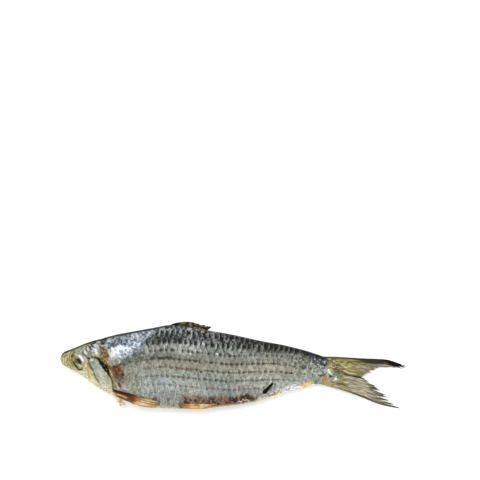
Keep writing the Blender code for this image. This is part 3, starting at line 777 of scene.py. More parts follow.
def belly_paint(paint):
    """The burst, stained band above the belly fins, and the pale rim of the belly."""
    along, up, rim = paint.along, paint.up, paint.rim
    paint.mark(*BELLY_MARKS)
    torn = rough(along * 0.9, up * 0.5, 41)
    fray = 2.4 * (rough(along * 0.55, up * 0.2, 46) - 0.5) + 2.2 * (torn - 0.5)
    top = graph(along, ((53, -14.1), (60, -13.1), (75, -12.5), (83, -11.6), (90, -11.3)))
    band = rise(top + fray - up, 0, 2.2) * rise(rim, 0.4, 1.0) * between(along, 55.0, 89, 1.6)
    paint.lay((132, 76, 58), band * (0.60 + 0.40 * torn), 1.0 - 0.15 * rise(along, 62, 74))
    paint.lay((84, 60, 40), band * rise(along, 70, 79) * (0.4 + 0.6 * torn))
    paint.speckle(band, ((146, 118, 100), 0.8, 0.8, 0.32, 40, 0, 0.6))
    paint.speckle(band, ((40, 22, 16), 0.9, 0.85, 0.46, 42, 0.4, 0.6), ((150, 134, 118), 0.7, 0.7, 0.18, 39))
    paint.speckle(band * rise(along, 68, 76), ((160, 104, 52), 0.7, 0.7, 0.24, 38))
    paint.speckle(paint.blob((81.8, -14.6), 6.8, 2.6, 8, 0.7, 43), ((38, 25, 17), 0.9, 1.1, 0.60, 44))
    paint.speckle(paint.blob((82.6, -15.4), 3.4, 1.4, 12), ((235, 238, 236), 0.95, 0.5, 0.34, 45))
    hatch = rise(rough(along * 1.2, up * 0.45, 49), 0.5, 0.62) * between(along, 41, 56, 2)
    paint.lay((92, 66, 58), hatch * fall(up, -16.5, -13.5) * 0.65)

    paint.lay((220, 210, 180), bump(rim, 0.9) * between(along, 40, 55, 3) * 0.85)
    paint.lay(GOLD, bump(rim, 0.7) * between(along, 54, 78, 3) * 0.75)
    paint.lay((212, 208, 166), bump(rim, 0.6) * between(along, 76, 88, 2) * 0.8)
    pearly = fall(rim, 0.9, 2.8) * between(along, 88.5, 108, 2)
    paint.speckle(pearly, ((232, 223, 202), 0.9, 0.75, 0.64, 51), ((142, 118, 104), 0.8, 0.7, 0.26, 52))
    shine = paint.blob((103.6, -7.9), 4.8, 1.8, 22, 0.7, 53)
    paint.speckle(shine, ((232, 236, 250), 0.95, 0.8, 0.76, 55), ((128, 126, 148), 0.65, 0.65, 0.20, 56))
    paint.mark(((244, 206, 122), 0.85, (109.8, -6.2), 3.4, 1.0, 24, 0.5, 54))


def tail_root_paint(paint):
    """Where flesh gives way to the tail: torn scales, painted glints where it looks wet, and oily stains."""
    along, up = paint.along, paint.up
    paint.speckle(paint.blob((114.5, 4.0), 5.4, 3.2, -40, 0.6, 61), ((54, 60, 66), 0.65, 1.0, 0.5, 60))
    torn = paint.blob((117.0, 1.2), 7.0, 5.4, -25, 0.4, 62)
    paint.speckle(torn, ((40, 44, 46), 0.85, 0.9, 0.42, 63), ((178, 190, 182), 0.85, 0.75, 0.38, 64))
    paint.speckle(paint.blob((120.8, 1.6), 2.8, 2.0, -20, 0.6, 65), ((170, 168, 116), 0.8, 0.7, 0.42, 66))
    rear = rise(along - graph(up, ((-8, 125.5), (-3, 124.4), (1, 120.0), (6.6, 118.6))), -1.2, 1.4)
    paint.lay((122, 112, 68), rear * 0.9)
    paint.speckle(rear, ((56, 48, 28), 0.7, 0.65, 0.36, 22, 0.3, 1, 0.6))
    paint.speckle(rear, ((196, 188, 138), 0.65, 0.55, 0.26, 23, 0, 1, 0.6))
    oily = paint.blob((119.3, -4.3), 4.4, 2.1, -34, 0.9, 67)
    paint.lay((184, 154, 108), oily * rise(rough(along * 0.9, up * 0.9, 59), 0.1, 0.6))
    paint.speckle(oily, ((122, 104, 66), 0.6, 0.7, 0.34, 68, 0, 0.8))
    # Dark flecks, and painted glints where the tail root looks wet
    wet = paint.blob((121.8, -1.7), 3.9, 1.7, -46, 0.6, 57)
    paint.speckle(wet, ((30, 36, 40), 0.85, 0.8, 0.40, 58), ((212, 226, 224), 0.95, 0.7, 0.36, 69))
    paint.mark(*TAIL_ROOT_MARKS)


def nape_paint(paint, scale):
    """The silver-blue skin over the shoulder and a painted highlight of white glare on it, both broken up by
    its scales, with painted shade in the gaps between them.
    """
    along, up = paint.along, paint.up
    bright = rise(hashed(scale.row, np.round(2 * along / SCALE_PITCH - scale.back * 2), 94), 0.2, 0.8)
    fine = rough(along * 1.5, up * 1.5, 95)
    blue = paint.blob((27.4, 6.2), 9.5, 4.8, 16, 0.5, 96)
    paint.lay((142, 157, 166), blue * 0.9, 0.30 + 1.4 * fine)
    upper = paint.blob((34.0, 11.5), 7.8, 2.1, 17, 0.6, 97)
    paint.lay((162, 174, 182), upper * 0.8, 0.1 + 1.8 * fine)
    # Painted highlight: white glare over the shoulder, broken up into the scales' cells
    glare = paint.blob((26.2, 4.4), 6.4, 3.1, 10, 0.5, 98)
    glare = np.clip(glare + 0.6 * paint.blob((32.0, 7.8), 3.4, 1.5, 16, 0.5, 99), 0, 1)
    cells = np.maximum(paint.specks(0.85, 0.50, 100), 0.8 * rise(fine + 0.30 * bright, 0.50, 0.68))
    paint.lay((228, 238, 246), glare * np.clip(1.15 * cells, 0, 1))
    paint.speckle(np.maximum(blue, upper) * (1 - glare), ((208, 219, 224), 0.8, 0.8, 0.30, 106))
    # Dark gaps between the scales: dark specks, and painted shade where a scale lies behind the one in front
    gaps = np.clip(paint.specks(0.95, 0.40, 101) + 0.6 * scale.shade, 0, 1)
    paint.lay((44, 54, 74), gaps * np.maximum(blue, 0.8 * upper) * (0.9 - 0.5 * glare))
    paint.speckle(paint.blob((19.8, 7.8), 2.8, 2.0, 30, 0.6, 108), ((196, 206, 208), 0.85, 0.75, 0.36, 109))
    edge = stroke(along, up, ((21.4, 8.6), (21.2, 6.2), (22.4, 3.6)), 0.6)
    paint.speckle(edge, ((44, 52, 76), 0.9, 0.8, 0.6, 107))
    under = ((26.7, -1.6), (31.1, -0.3), (35.5, 1.0), (41.0, 2.0), (47.0, 2.8), (53.0, 2.9))
    paint.speckle(stroke(along, up, under, 0.95), ((40, 42, 34), 0.85, 1.1, 0.55, 102))
    paint.speckle(paint.blob((33.0, 2.6), 6.4, 2.2, 10, 0.5, 103), ((74, 78, 68), 0.85, 1.0, 0.5, 104))


def head_paint(paint):
    """Snout, jaws, cheek and gill cover."""
    along, up, rim, ridge = paint.along, paint.up, paint.rim, paint.ridge
    behind, share = distance_to(along, up, CHEEK_RIDGE)
    fine = rough(along * 1.5, up * 1.5, 72)
    paint.lay((173, 176, 148), 1, 0.82 + 0.36 * rough((along + 0.5 * up) * 0.35, (up - along) * 1.1, 70))
    paint.lay((186, 182, 134), fall(behind, -1.6, 0.6))
    paint.lay((216, 196, 142), bump(behind + 0.4, 1.0) * rise(share, 0.08, 0.3))
    paint.lay((196, 174, 114), bump(behind + 0.1, 0.35) * rise(share, 0.1, 0.4) * 0.7)
    paint.lay((222, 217, 182), fall(rim, 1.4, 4.0) * rise(along, 4, 8) * 0.9)
    paint.lay((190, 182, 134), fall(along + 0.3 * up, 4.0, 7.0))
    # Painted shade in the troughs of the snout's folds and painted highlight on their crests
    shaded = between(along, 0.5, 5.6, 0.7) * between(up, -4.2, 2.6, 1.2)
    fold = snout_fold(along, up)
    paint.lay((116, 104, 56), rise(-fold, 0.0, 0.9) * shaded * (0.3 + 0.7 * fine))
    paint.lay((212, 208, 156), rise(fold, 0.4, 1) * shaded * 0.4)
    paint.lay((58, 46, 26), fall(along, 0.0, 0.9) * rise(up, -1.4, 0.4) * 0.7)

    grey = paint.blob((14.8, 5.4), 6.2, 3.2, 24, 0.4, 73)
    paint.lay((146, 144, 140), grey * 0.85)
    top = fall(ridge - rise(along, 5, 11), 0.7, 2.7) * rise(along, 3.5, 8.0)
    paint.lay((70, 66, 46), top * 0.92)
    paint.lay((18, 16, 8), fall(ridge, 0.6, 1.5) * rise(along, 0.2, 1.5) * 0.92)
    paint.speckle(np.maximum(grey, top), ((40, 36, 24), 0.9, 0.95, 0.40, 74))
    paint.speckle(grey, ((206, 208, 210), 0.8, 0.8, 0.28, 75))
    paint.shade(0.80 + 0.40 * fine)
    paint.mark(*HEAD_MARKS)
    paint.lay(THROAT, fall(rim, 0.8, 2.6) * rise(along, 15, 20))
    paint.mark(((78, 44, 30), 1, (20.0, -13.7), 0.75, 0.5, -20))


def gill_paint(paint):
    """The dark slit, the golden shoulder behind it and the red-brown patch where blood dried."""
    along, up = paint.along, paint.up
    behind, share = distance_to(along, up, GILL_EDGE)
    torn = rough(along * 1.3, up * 1.3, 83) - 0.5
    shoulder = between(behind + 1.2 * torn, 0.0, 3.2, 0.5) * between(share, 0.14, 0.66, 0.06)
    paint.lay((106, 82, 34), shoulder * 0.95)
    upper = paint.blob((19.4, 2.8), 2.3, 3.2, 20, 0.5, 84)
    paint.lay((96, 76, 46), upper * 0.9)
    paint.lay((176, 152, 108), upper * rise(np.sin(5.5 * (along + 0.55 * up) + 6 * torn), 0.2, 0.9) * 0.6)
    paint.speckle(np.maximum(shoulder, upper), ((46, 36, 20), 0.85, 0.8, 0.36, 85))
    paint.speckle(shoulder, ((190, 160, 90), 0.7, 0.8, 0.26, 82, 0.4))
    paint.lay((122, 106, 68), between(behind, 0.2, 2.4, 0.4) * between(share, 0.60, 0.97, 0.05) * 0.85)
    stained = paint.blob((26.0, -5.6), 4.4, 2.5, -68, 0.8, 86)
    paint.lay((98, 74, 60), stained * 0.9)
    paint.mark(((104, 64, 38), 0.8, (25.6, -3.9), 2.9, 1.5, -10, 0.7, 87))
    paint.speckle(stained, ((186, 128, 84), 0.7, 0.85, 0.28, 88), ((60, 34, 26), 0.8, 0.9, 0.34, 89))
    paint.speckle(paint.blob((26.4, -8.6), 2.6, 1.6, -60, 0.6, 81), ((128, 118, 108), 0.7, 0.8, 0.45, 80))
    paint.mark(*GILL_MARKS)
    slit = between(behind + 0.3 * torn, -0.05, gill_width(share) + 0.1, 0.15)
    paint.lay((20, 12, 7), slit * between(share, 0.20, 0.64, 0.05))
    paint.mark(*SLIT_MARKS)


def eye_surround_paint(paint):
    """Olive folds in front of the socket, and a painted reflection: the pale blue-grey glare band that
    crosses its rear edge.
    """
    r = eye_radius(paint.along, paint.up)
    front = fall(paint.along - 0.6 * paint.up, 6.0, 9.0)
    paint.lay((104, 94, 52), bump(r - 1.10, 0.09) * front * 0.75)
    paint.lay((206, 200, 152), bump(r - 1.28, 0.07) * front * 0.5)
    paint.lay((128, 116, 70), bump(r - 1.44, 0.07) * front * 0.55)
    paint.lay((120, 112, 72), fall(r, 0.88, 1.0) * (0.35 + 0.6 * front))
    paint.mark(*EYE_MARKS)


def skin_paint(along, up, scale):
    """The colour of the skin at places on the side, and how wet it looks there."""
    paint, head = Paint(along, up), Paint(along, up)
    flank_paint(paint, scale)
    ridge_paint(paint, scale)
    belly_paint(paint)
    tail_root_paint(paint)
    nape_paint(paint, scale)
    paint.lay(THROAT, fall(paint.rim, 0.8, 2.6) * between(along, 14, 26, 2.5))
    head_paint(head)
    ragged = 1.6 * (rough(along * 0.9, up * 0.9, 105) - 0.5)
    above = fall(along + ragged - 0.15 * (up - 2), 18.6, 20.2)
    bare = np.where(up > 1.0, above, fall(distance_to(along, up, GILL_EDGE)[0], -0.15, 0.15))[..., None]
    paint.colour = paint.colour * (1 - bare) + head.colour * bare
    gill_paint(paint)
    eye_surround_paint(paint)
    paint.lay((20, 19, 14), fall(paint.ridge, 0.5, 1.3) * between(along, 1.0, 48, 2) * 0.92)
    wetness = sum(wet * paint.blob(*oval) for wet, *oval in WET)
    return np.clip(paint.colour, 0, 1), np.clip(wetness, 0, 1)


# --- Materials


class Nodes:
    """A material's node tree, with short calls that add nodes."""

    def __init__(self, name):
        self.material = bpy.data.materials.new(name)
        self.material.use_nodes = True
        self.tree = self.material.node_tree
        self.place = self.add("TexCoord", {}, "Object")

    def plug(self, sockets, values):
        """Give sockets a constant or another node's output."""
        for name, value in values.items():
            if isinstance(value, bpy.types.NodeSocket):
                self.tree.links.new(value, sockets[name])
            else:
                sockets[name].default_value = value

    def add(self, kind, values, output=0, **settings):
        """One output of a new node."""
        node = self.tree.nodes.new("ShaderNode" + kind)
        for name, value in settings.items():
            setattr(node, name, value)
        self.plug(node.inputs, values)
        return node.outputs[output]

    def noise(self, scale, detail, stretch=(1, 1, 1)):
        mapped = self.add("Mapping", {"Vector": self.place, "Scale": stretch})
        return self.add("TexNoise", {"Vector": mapped, "Scale": scale, "Detail": detail}, "Fac")

    def spread(self, value, to_low, to_high, low=0.3, high=0.7):
        """A value, with its range from low to high mapped to another."""
        ends = {"From Min": low, "From Max": high, "To Min": to_low, "To Max": to_high}
        return self.add("MapRange", {"Value": value, **ends})

    def maths(self, operation, one, other):
        return self.add("Math", {0: one, 1: other}, operation=operation)

    def finish(self, **values):
        named = {name.replace("_", " "): value for name, value in values.items()}
        self.plug(self.tree.nodes["Principled BSDF"].inputs, named)
        return self.material

    def painted(self, tint, bumps, **values):
        """The points' paint times the tint, and bumps of (height, strength, depth in metres)."""
        paint = self.add("Attribute", {}, "Color", attribute_name="paint")
        normal = {}
        for height, strength, depth in bumps:
            bumped = {"Height": height, "Strength": strength, "Distance": depth}
            normal = {"Normal": self.add("Bump", bumped | normal)}
        colour = self.add("VectorMath", {0: paint, "Scale": tint}, operation="SCALE")
        return self.finish(Base_Color=colour, **normal, **values)


def skin_material():
    n = Nodes("dried_skin")
    fine, coarse = n.noise(1700, 4), n.noise(800, 3)
    pores = n.add("TexVoronoi", {"Vector": n.place, "Scale": 4200}, "Distance")
    wet = n.add("Attribute", {}, "Fac", attribute_name="wet")
    tint = n.maths("MULTIPLY", n.spread(fine, 0.58, 1.42), n.spread(coarse, 0.88, 1.12))
    roughness = n.maths("ADD", n.spread(wet, 0.50, 0.32, 0, 1), n.spread(fine, -0.10, 0.12))
    bumps = (coarse, 0.6, 0.00018), (fine, 0.6, 0.00009), (pores, 0.3, 0.00005)
    metal = n.spread(wet, 0.0, 0.12, 0, 1)
    return n.painted(tint, bumps, Roughness=roughness, Metallic=metal, Specular_IOR_Level=0.16)


def fin_material():
    n = Nodes("fins")
    fine, streak = n.noise(3600, 4), n.noise(1500, 3, (0.18, 1, 1))
    tint = n.maths("MULTIPLY", n.spread(fine, 0.8, 1.2), n.spread(streak, 0.7, 1.25))
    bumps = (streak, 0.5, 0.00008), (fine, 0.4, 0.00004)
    return n.painted(tint, bumps, Roughness=n.spread(streak, 0.42, 0.62), Specular_IOR_Level=0.14)


def grained_material(name, scale, detail, tint, roughness, bump_strength, depth, **gloss):
    n = Nodes(name)
    fine = n.noise(scale, detail)
    bumps = ((fine, bump_strength, depth),)
    return n.painted(n.spread(fine, *tint), bumps, Roughness=n.spread(fine, *roughness), **gloss)


MATERIALS = {
    "dried_skin": skin_material(),
    "fins": fin_material(),
    "eye": grained_material(
        *("eye", 3000, 3, (0.85, 1.15), (0.22, 0.40), 0.25, 0.00006),
        Specular_IOR_Level=0.35,
        Coat_Weight=0.15,
        Coat_Roughness=0.15,
    ),
    "flesh": grained_material(
        *("flesh", 3500, 4, (0.75, 1.25), (0.40, 0.65), 0.5, 0.00008),
        Specular_IOR_Level=0.08,
    ),
}


# --- Making pieces


def place_object(name, data):
    made = bpy.data.objects.new(name, data)
    bpy.context.scene.collection.objects.link(made)
    return made


def row_frame(points):
    """Points given as (along, up, height) in millimetres, moved to the frame's metres."""
    start = CAD_LOW.x, (CAD_LOW.y + CAD_HIGH.y) / 2, CAD_LOW.z
    return (np.array(points, float) - (0, (HIGHEST_UP + LOWEST_UP) / 2, 0)) * MM + start


def new_piece(name, slot, points, faces, paint, wet):
    """A smooth piece with its painted colour and wetness, riding on the fish."""
    mesh = bpy.data.meshes.new(name)
    mesh.from_pydata(row_frame(points), [], faces)
    colours = np.ones((len(points), 4), np.float32)
    colours[:, :3] = paint
    wet = np.zeros(len(points), np.float32) + wet
    mesh.attributes.new("paint", "FLOAT_COLOR", "POINT").data.foreach_set("color", colours.ravel())
    mesh.attributes.new("wet", "FLOAT", "POINT").data.foreach_set("value", wet.astype(np.float32))
    mesh.materials.append(MATERIALS[slot])
    mesh.shade_smooth()
    made = place_object(name, mesh)
    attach(made, "root")
    return made


def tube_faces(first, rings, around, outward=False):
    """Quads between rings of points, each ring after the other, from a first point on."""
    faces = []
    for i, j in itertools.product(range(rings - 1), range(around)):
        start, k = first + i * around, (j + 1) % around
        a, b, c, d = start + j, start + k, start + around + k, start + around + j
        faces.append((a, d, c, b) if outward else (a, b, c, d))
    return faces


def capped_faces(rings, around):
    """Faces of a first point, rings of points and a last point."""
    last = 1 + (rings - 1) * around
    faces = tube_faces(1, rings, around, outward=True)
    for j in range(around):
        k = (j + 1) % around
        faces += [(0, 1 + j, 1 + k), (last + around, last + k, last + j)]
    return faces


def body_piece(slot):
    """Head and flesh as rings of points from the snout to the tail, closed at both ends."""
    rings = ring_stations()
    upper, lower = np.linspace(0, 1, UPPER_POINTS + 1), np.linspace(1, 0, LOWER_POINTS + 1)[1:-1]
    spread = np.concatenate((upper, lower))
    turns = math.pi * (spread + 0.07 * np.sin(2 * math.pi * spread))
    sides = np.repeat((1, -1), (len(upper), len(lower)))
    ring, turn = np.meshgrid(rings, turns, indexing="ij")
    along, up = ring_points(ring, turn)
    middle, half = middle_height(along), half_thickness(along)
    height = middle + sides * half * section_bulge(turn)
    bare = np.stack((along, up, height), -1)
    outward = np.cross(np.roll(bare, -1, 1) - np.roll(bare, 1, 1), np.gradient(bare, axis=0))
    outward /= np.maximum(np.linalg.norm(outward, axis=-1, keepdims=True), 1e-9)
    # Below its widest line the marks run on round the steep edges, so that they don't stretch there
    half_depth = np.maximum(np.ptp(up, axis=1, keepdims=True) / 2, 1e-6)
    share = (up - (back_height(along) + belly_height(along)) / 2) / half_depth
    edge = rise(np.abs(share), 0.6, 0.9)
    slip = np.clip(middle - height - 0.6, 0, 4) * rise(along, 27, 35) * edge
    looks = seen(along, up)
    looks = looks[0] + 0.6 * slip, looks[1] - 0.8 * slip * np.sign(share)
    scale = scales(*looks)
    fade = np.sin(turn) ** 0.6 * rise(along, 0, 1.5)
    raised = relief(along, up, looks, scale) * fade + belly_scutes(along, up) * (1 - fade)
    surface = bare + outward * raised[..., None]
    surface[..., 2] = rest_on_floor(surface[..., 2])
    paint, wet = skin_paint(*looks, scale)
    # Blotches by height where the edges are steep, or the marks there would be upright streaks
    steep = rise(np.where(share > 0, 0.35 * half, -0.6) + middle - height, 0, 1.2) * edge
    paint = paint * (1 + 1.7 * steep * (rough(along * 1.1, height * 1.2, 27) - 0.5))[..., None]
    pale = (steep * specks(along, height, 0.8, 0.34, 28) * 0.6)[..., None]
    paint = paint * (1 - pale) + srgb(128, 130, 120) * pale

    snout, tail = (0.0, 0.0, float(middle_height(0))), surface[-1].mean(0) + (0.6, 0, 0)
    points = np.vstack(([snout], surface.reshape(-1, 3), [tail]))
    paint = np.vstack((paint[0, :1], paint.reshape(-1, 3), paint[-1, :1]))
    wet = np.concatenate(([0], wet.ravel(), [0]))
    faces = capped_faces(len(rings), len(turns))
    return new_piece("dried_body", slot, points, faces, paint, wet)


def fin_piece(name, courses, height, build, colour, seed, reach=((0, 1), (1, 1)), tears=()):
    """A fin between the courses of its first and last ray: rays that split into strands towards ragged
    ends, over a thin web that stops short of them.

    colour(paint, out, share, chance) paints it, where out is 0 at a strand's root and 1 at its end,
    share is how far across the fin it is, and chance is the strand's own random value.
    """
    rays, strands, web, width, thickness, rag = build
    chance = np.random.default_rng(seed)
    points, faces, tints = [], [], []

    def reach_at(share):
        torn = sum(depth * bump(share - place, TEAR_WIDTH) for place, depth in tears)
        return np.interp(share, *np.transpose(reach)) * (1 - torn)

    def place(share, out):
        """(along, up) at a share of the way across the fin and a share of the way out."""
        one, other = (curve_through(course, out) for course in courses)
        return one[0] + (other[0] - one[0]) * share, one[1] + (other[1] - one[1]) * share

    def painted(along, up, *where):
        paint = Paint(along, up)
        colour(paint, *where)
        return np.clip(paint.colour, 0, 1)

    def add(grid, tint):
        """A closed tube from rows of points, with both ends shut."""
        start, (rows, around) = len(points), grid.shape[:2]
        points.extend(grid.reshape(-1, 3))
        tints.extend(tint.reshape(-1, 3))
        faces.extend(tube_faces(start, rows, around))
        for j in range(around // 2 - 1):
            quad = (start + j, start + j + 1, start + around - 2 - j, start + around - 1 - j)
            faces.append(quad[::-1])
            faces.append(tuple(corner + (rows - 1) * around for corner in quad))

    # The web: one thin sheet, as a flat tube whose ring goes across on top and back below
    columns = np.linspace(0, 1, 8 * rays + 1)
    rows = np.linspace(0, 1, 25)[:, None]
    ragged = web - rag * 0.6 * rough(columns * rays * 1.7, columns * 0, seed)
    along, up = place(columns, rows * reach_at(columns) * ragged)
    middle = np.maximum(height(along, up), 0.25 * thickness)
    half = 0.10 * thickness * (1.2 - 0.5 * rows) + 0.03 * thickness * np.cos(2 * math.pi * columns * rays)
    luck = 0.2 + 0.5 * (hashed(np.round(columns * rays * 2), 0, seed) + 0 * along)
    tint = 0.8 * painted(along, up, 0.8 * rows + 0 * along, columns + 0 * along, luck)
    top, low = np.stack((along, up, middle + half), -1), np.stack((along, up, middle - half), -1)
    add(np.concatenate((top, low[:, ::-1]), 1), np.concatenate((tint, tint[:, ::-1]), 1))

    # The strands
    profile = np.array(((-1, 0), (-0.55, 0.8), (0, 1), (0.55, 0.8), (1, 0), (0, -0.8)))
    t = np.linspace(0, 1, 26)
    for ray, strand in itertools.product(range(rays + 1), range(strands)):
        luck, shorter = chance.random(), chance.random()
        root = ray / rays
        side = (strand + 0.5) / strands - 0.5 + 0.3 * (luck - 0.5)
        share_end = np.clip(root + side / rays * 1.15, 0, 1)
        outermost = ray in (0, rays) and strand == 0
        length = reach_at(share_end) * (1 - rag * shorter**2 * (not outermost))
        share = root + (share_end - root) * rise(t, 0.25, 0.9)
        bend = 0.10 / rays * np.sin(6 * t + 9 * luck) * t
        along, up = place(np.clip(share + bend, 0, 1), t * length)
        heading = np.stack((np.gradient(along), np.gradient(up)), -1)
        heading /= np.linalg.norm(heading, axis=-1, keepdims=True)
        fine = width * (0.9 + 0.35 * luck) * (1 - 0.4 * t) * np.sqrt(np.clip(1 - t**6, 0.02, 1))
        thick = 0.5 * thickness * (1 - 0.5 * t) * (1 - 0.25 * luck)
        middle = np.maximum(height(along, up) + 0.25 * thickness * (luck - 0.3), thick)
        ring = np.empty((len(t), len(profile), 3))
        ring[..., 0] = along[:, None] - heading[:, 1:] * profile[:, 0] * fine[:, None] / 2
        ring[..., 1] = up[:, None] + heading[:, :1] * profile[:, 0] * fine[:, None] / 2
        ring[..., 2] = middle[:, None] + thick[:, None] * profile[:, 1]
        flat = np.stack((along, up, t, share, np.full(len(t), luck)))[:, :, None] + np.zeros(len(profile))
        add(ring, painted(*flat))
    return new_piece(name, "fins", points, faces, tints, 0)


# --- The fins


def tail_height(along, up):
    wave = TAIL_WAVE * np.sin(0.30 * along + 0.45 * up) * rise(along, FLESH_END - 4, 138)
    return middle_height(along) + wave


def tail_colour(paint, out, share, chance):
    """Olive at the root and grey-tan behind, with a black spear along the top and dark finger tips."""
    along, up = paint.along, paint.up
    lower = rise(share, 0.42, 0.60)
    paint.lay((138, 130, 92))
    paint.lay((170, 163, 143), np.maximum(rise(along, 132, 141), lower * rise(along, 124, 131)) * 0.9)
    paint.lay((148, 142, 106), lower * fall(along, 126, 133) * 0.8)
    paint.mark(((146, 132, 78), 0.5, (126.5, 2.6), 6.0, 4.2, -15, 0.6, 111))
    paint.shade(0.62 + 0.66 * chance)
    paint.lay((72, 64, 42), rise(rough(along * 0.38, share * 75, 112), 0.54, 0.66) * 0.65)
    paint.lay((222, 216, 190), rise(rough(along * 0.4, share * 70, 113), 0.58, 0.70) * 0.6)
    root = fall(along, 129, 137) * (1 - lower)
    swirl = np.sin(5.2 * np.hypot(0.55 * (along - 131), up - 3.6) + 3 * noise(along * 0.4, up * 0.6, 110))
    paint.lay((212, 202, 138), rise(swirl, 0.55, 0.95) * root * 0.6)
    paint.lay((78, 68, 38), rise(-swirl, 0.55, 0.95) * root * 0.55)
    tips = rise(out, 0.80, 0.93)
    paint.lay((30, 22, 18), tips * rise(share, 0.55, 0.66) * (0.6 + 0.4 * chance))
    paint.lay((112, 98, 84), tips * fall(share, 0.5, 0.6) * 0.6)
    paint.lay((46, 36, 20), fall(share, 0.02, 0.07) * fall(along, 136, 141) * 0.9)
    paint.lay((9, 6, 4), fall(share, 0.085, 0.115) * rise(along, 130, 138))
    haze = fall(share, 0.10, 0.20) * between(along, 134, 144, 2.5) * (0.3 + 0.7 * chance)
    paint.lay((70, 60, 42), haze * 0.6)
    paint.mark(
        ((226, 220, 206), 0.7, (145.6, 5.3), 1.2, 0.25, -8),
        ((30, 25, 15), 0.9, ((124.6, 0.4), (128.0, -0.9), (131.5, -1.4), (134.4, -1.9), (138.0, -3.4)), 0.42),
        ((214, 206, 162), 0.7, ((125.5, 1.4), (128.5, 0.1), (133, -0.7)), 0.3),
    )
    paint.lay((58, 50, 32), rise(share, 0.955, 1.0) * rise(along, 122, 132) * 0.85)


def back_fin_colour(paint, out, share, chance):
    """Olive-dark with black rays, black where it starts and with a cream patch."""
    paint.lay((54, 50, 30), 1, 0.2 + 0.85 * chance)
    paint.mark(((142, 136, 84), 0.7, (53.2, 18.0), 2.0, 1.3, 0, 0.5, 119))
    paint.mark(((196, 188, 140), 0.8, (57.0, 17.4), 1.1, 0.8, 0, 0.6, 120))
    paint.lay(BLACK, rise(rough(paint.along * 0.4, share * 18, 114), 0.47, 0.58) * 0.85)
    for places in (((58.5, 17.9), (61.5, 17.5), (64.5, 16.9)), ((58.0, 16.6), (61.0, 16.2), (64.0, 15.4))):
        paint.mark(((170, 160, 108), 0.8, places, 0.2))
    paint.lay((14, 12, 8), np.maximum(rise(out, 0.70, 0.90), fall(paint.along, 51.5, 53.5)) * 0.9)


def anal_fin_colour(paint, out, share, chance):
    """Cream and gold, with a pearly stretch before the last rays."""
    paint.lay(CREAM)
    paint.lay(GOLD, between(paint.along, 86, 92, 2) * 0.7)
    paint.mark(((240, 243, 252), 0.9, (103.5, -8.6), 4.5, 1.8, 22, 0.7, 115))
    paint.lay(GOLD, rise(out, 0.6, 1.0) * 0.35)
    paint.lay((246, 212, 136), rise(paint.along, 106.5, 109.5) * fall(out, 0.3, 0.8) * 0.6)
    paint.shade(0.84 + 0.32 * chance)


def breast_fin_colour(paint, out, share, chance):
    """Maroon upper edge, orange-brown root and fine tan rays with dark lines between."""
    along = paint.along
    paint.lay((230, 204, 156), 1, 0.68 + 0.66 * chance)
    paint.lay((150, 82, 34), fall(along + 6 * (share - 0.5), 33, 39) * 0.85, 0.35 + 0.9 * chance)
    paint.lay((74, 36, 18), rise(rough(along * 0.22, share * 30, 116), 0.50, 0.60) * 0.85)
    paint.lay((226, 198, 144), rise(rough(along * 0.2, share * 26, 117), 0.56, 0.66) * 0.6)
    paint.lay((70, 18, 12), fall(share, 0.34, 0.56) * fall(along, 32, 38) * 0.95)
    paint.mark(
        (BLACK, 0.8, ((25.0, -13.0), (28.0, -13.7), (33.5, -14.8)), 0.36),
        ((224, 190, 130), 0.85, ((26.6, -14.7), (29.5, -15.6), (33.5, -16.6)), 0.28),
        ((104, 44, 14), 0.85, (33.0, -16.8), 2.6, 0.9, -22, 0.5, 118),
    )


def far_breast_fin_colour(paint, out, share, chance):
    """Cream, with a blue-grey spot."""
    paint.lay((230, 214, 168), 1, 0.75 + 0.4 * chance)
    paint.mark(((124, 130, 140), 0.7, (27.9, -17.7), 0.8, 0.8))


def belly_fin_colour(paint, out, share, chance):
    """Golden with a brown root and cream spots."""
    paint.lay((212, 170, 98), 1, 0.64 + 0.62 * chance)
    paint.lay((104, 72, 40), fall(paint.along, 54.6, 56.6))
    paint.lay((118, 104, 92), fall(paint.along, 55.5, 60.5) * fall(share, 0.35, 0.75) * 0.9)
    paint.speckle(1, ((150, 112, 56), 0.6, 1.0, 0.3, 118))
    paint.mark(*((CREAM, 0.8, spot, 0.9, 0.7) for spot in ((63.9, -17.6), (66.0, -17.5))))
    paint.lay((190, 160, 104), rise(paint.along, 66, 70) * 0.6)


def flat(along, up):
    return middle_height(along)


def folded_back(along, up):
    return middle_height(along) + OFF_MIDDLE - 0.12 * (up - BACK_FIN[0][-1][1])


def on_edge(along, up):
    return np.maximum(flank_height(along, up), middle_height(along) + OFF_MIDDLE) + PRESSED_ON


def under_edge(along, up):
    return flank_height(along, up, -1) - PRESSED_ON + 0.1 * (up - FAR_BREAST_FIN[0][0][1])


def beside_keel(side):
    def height(along, up):
        middle = middle_height(along)
        past_root = rise(along, BELLY_FIN[0][0][0], BELLY_FIN[0][1][0])
        clear = ROOT_OFF_MIDDLE + (OFF_MIDDLE - ROOT_OFF_MIDDLE) * past_root
        return middle + side * (np.maximum(side * (flank_height(along, up, side) - middle), clear) + 0.1)

    return height


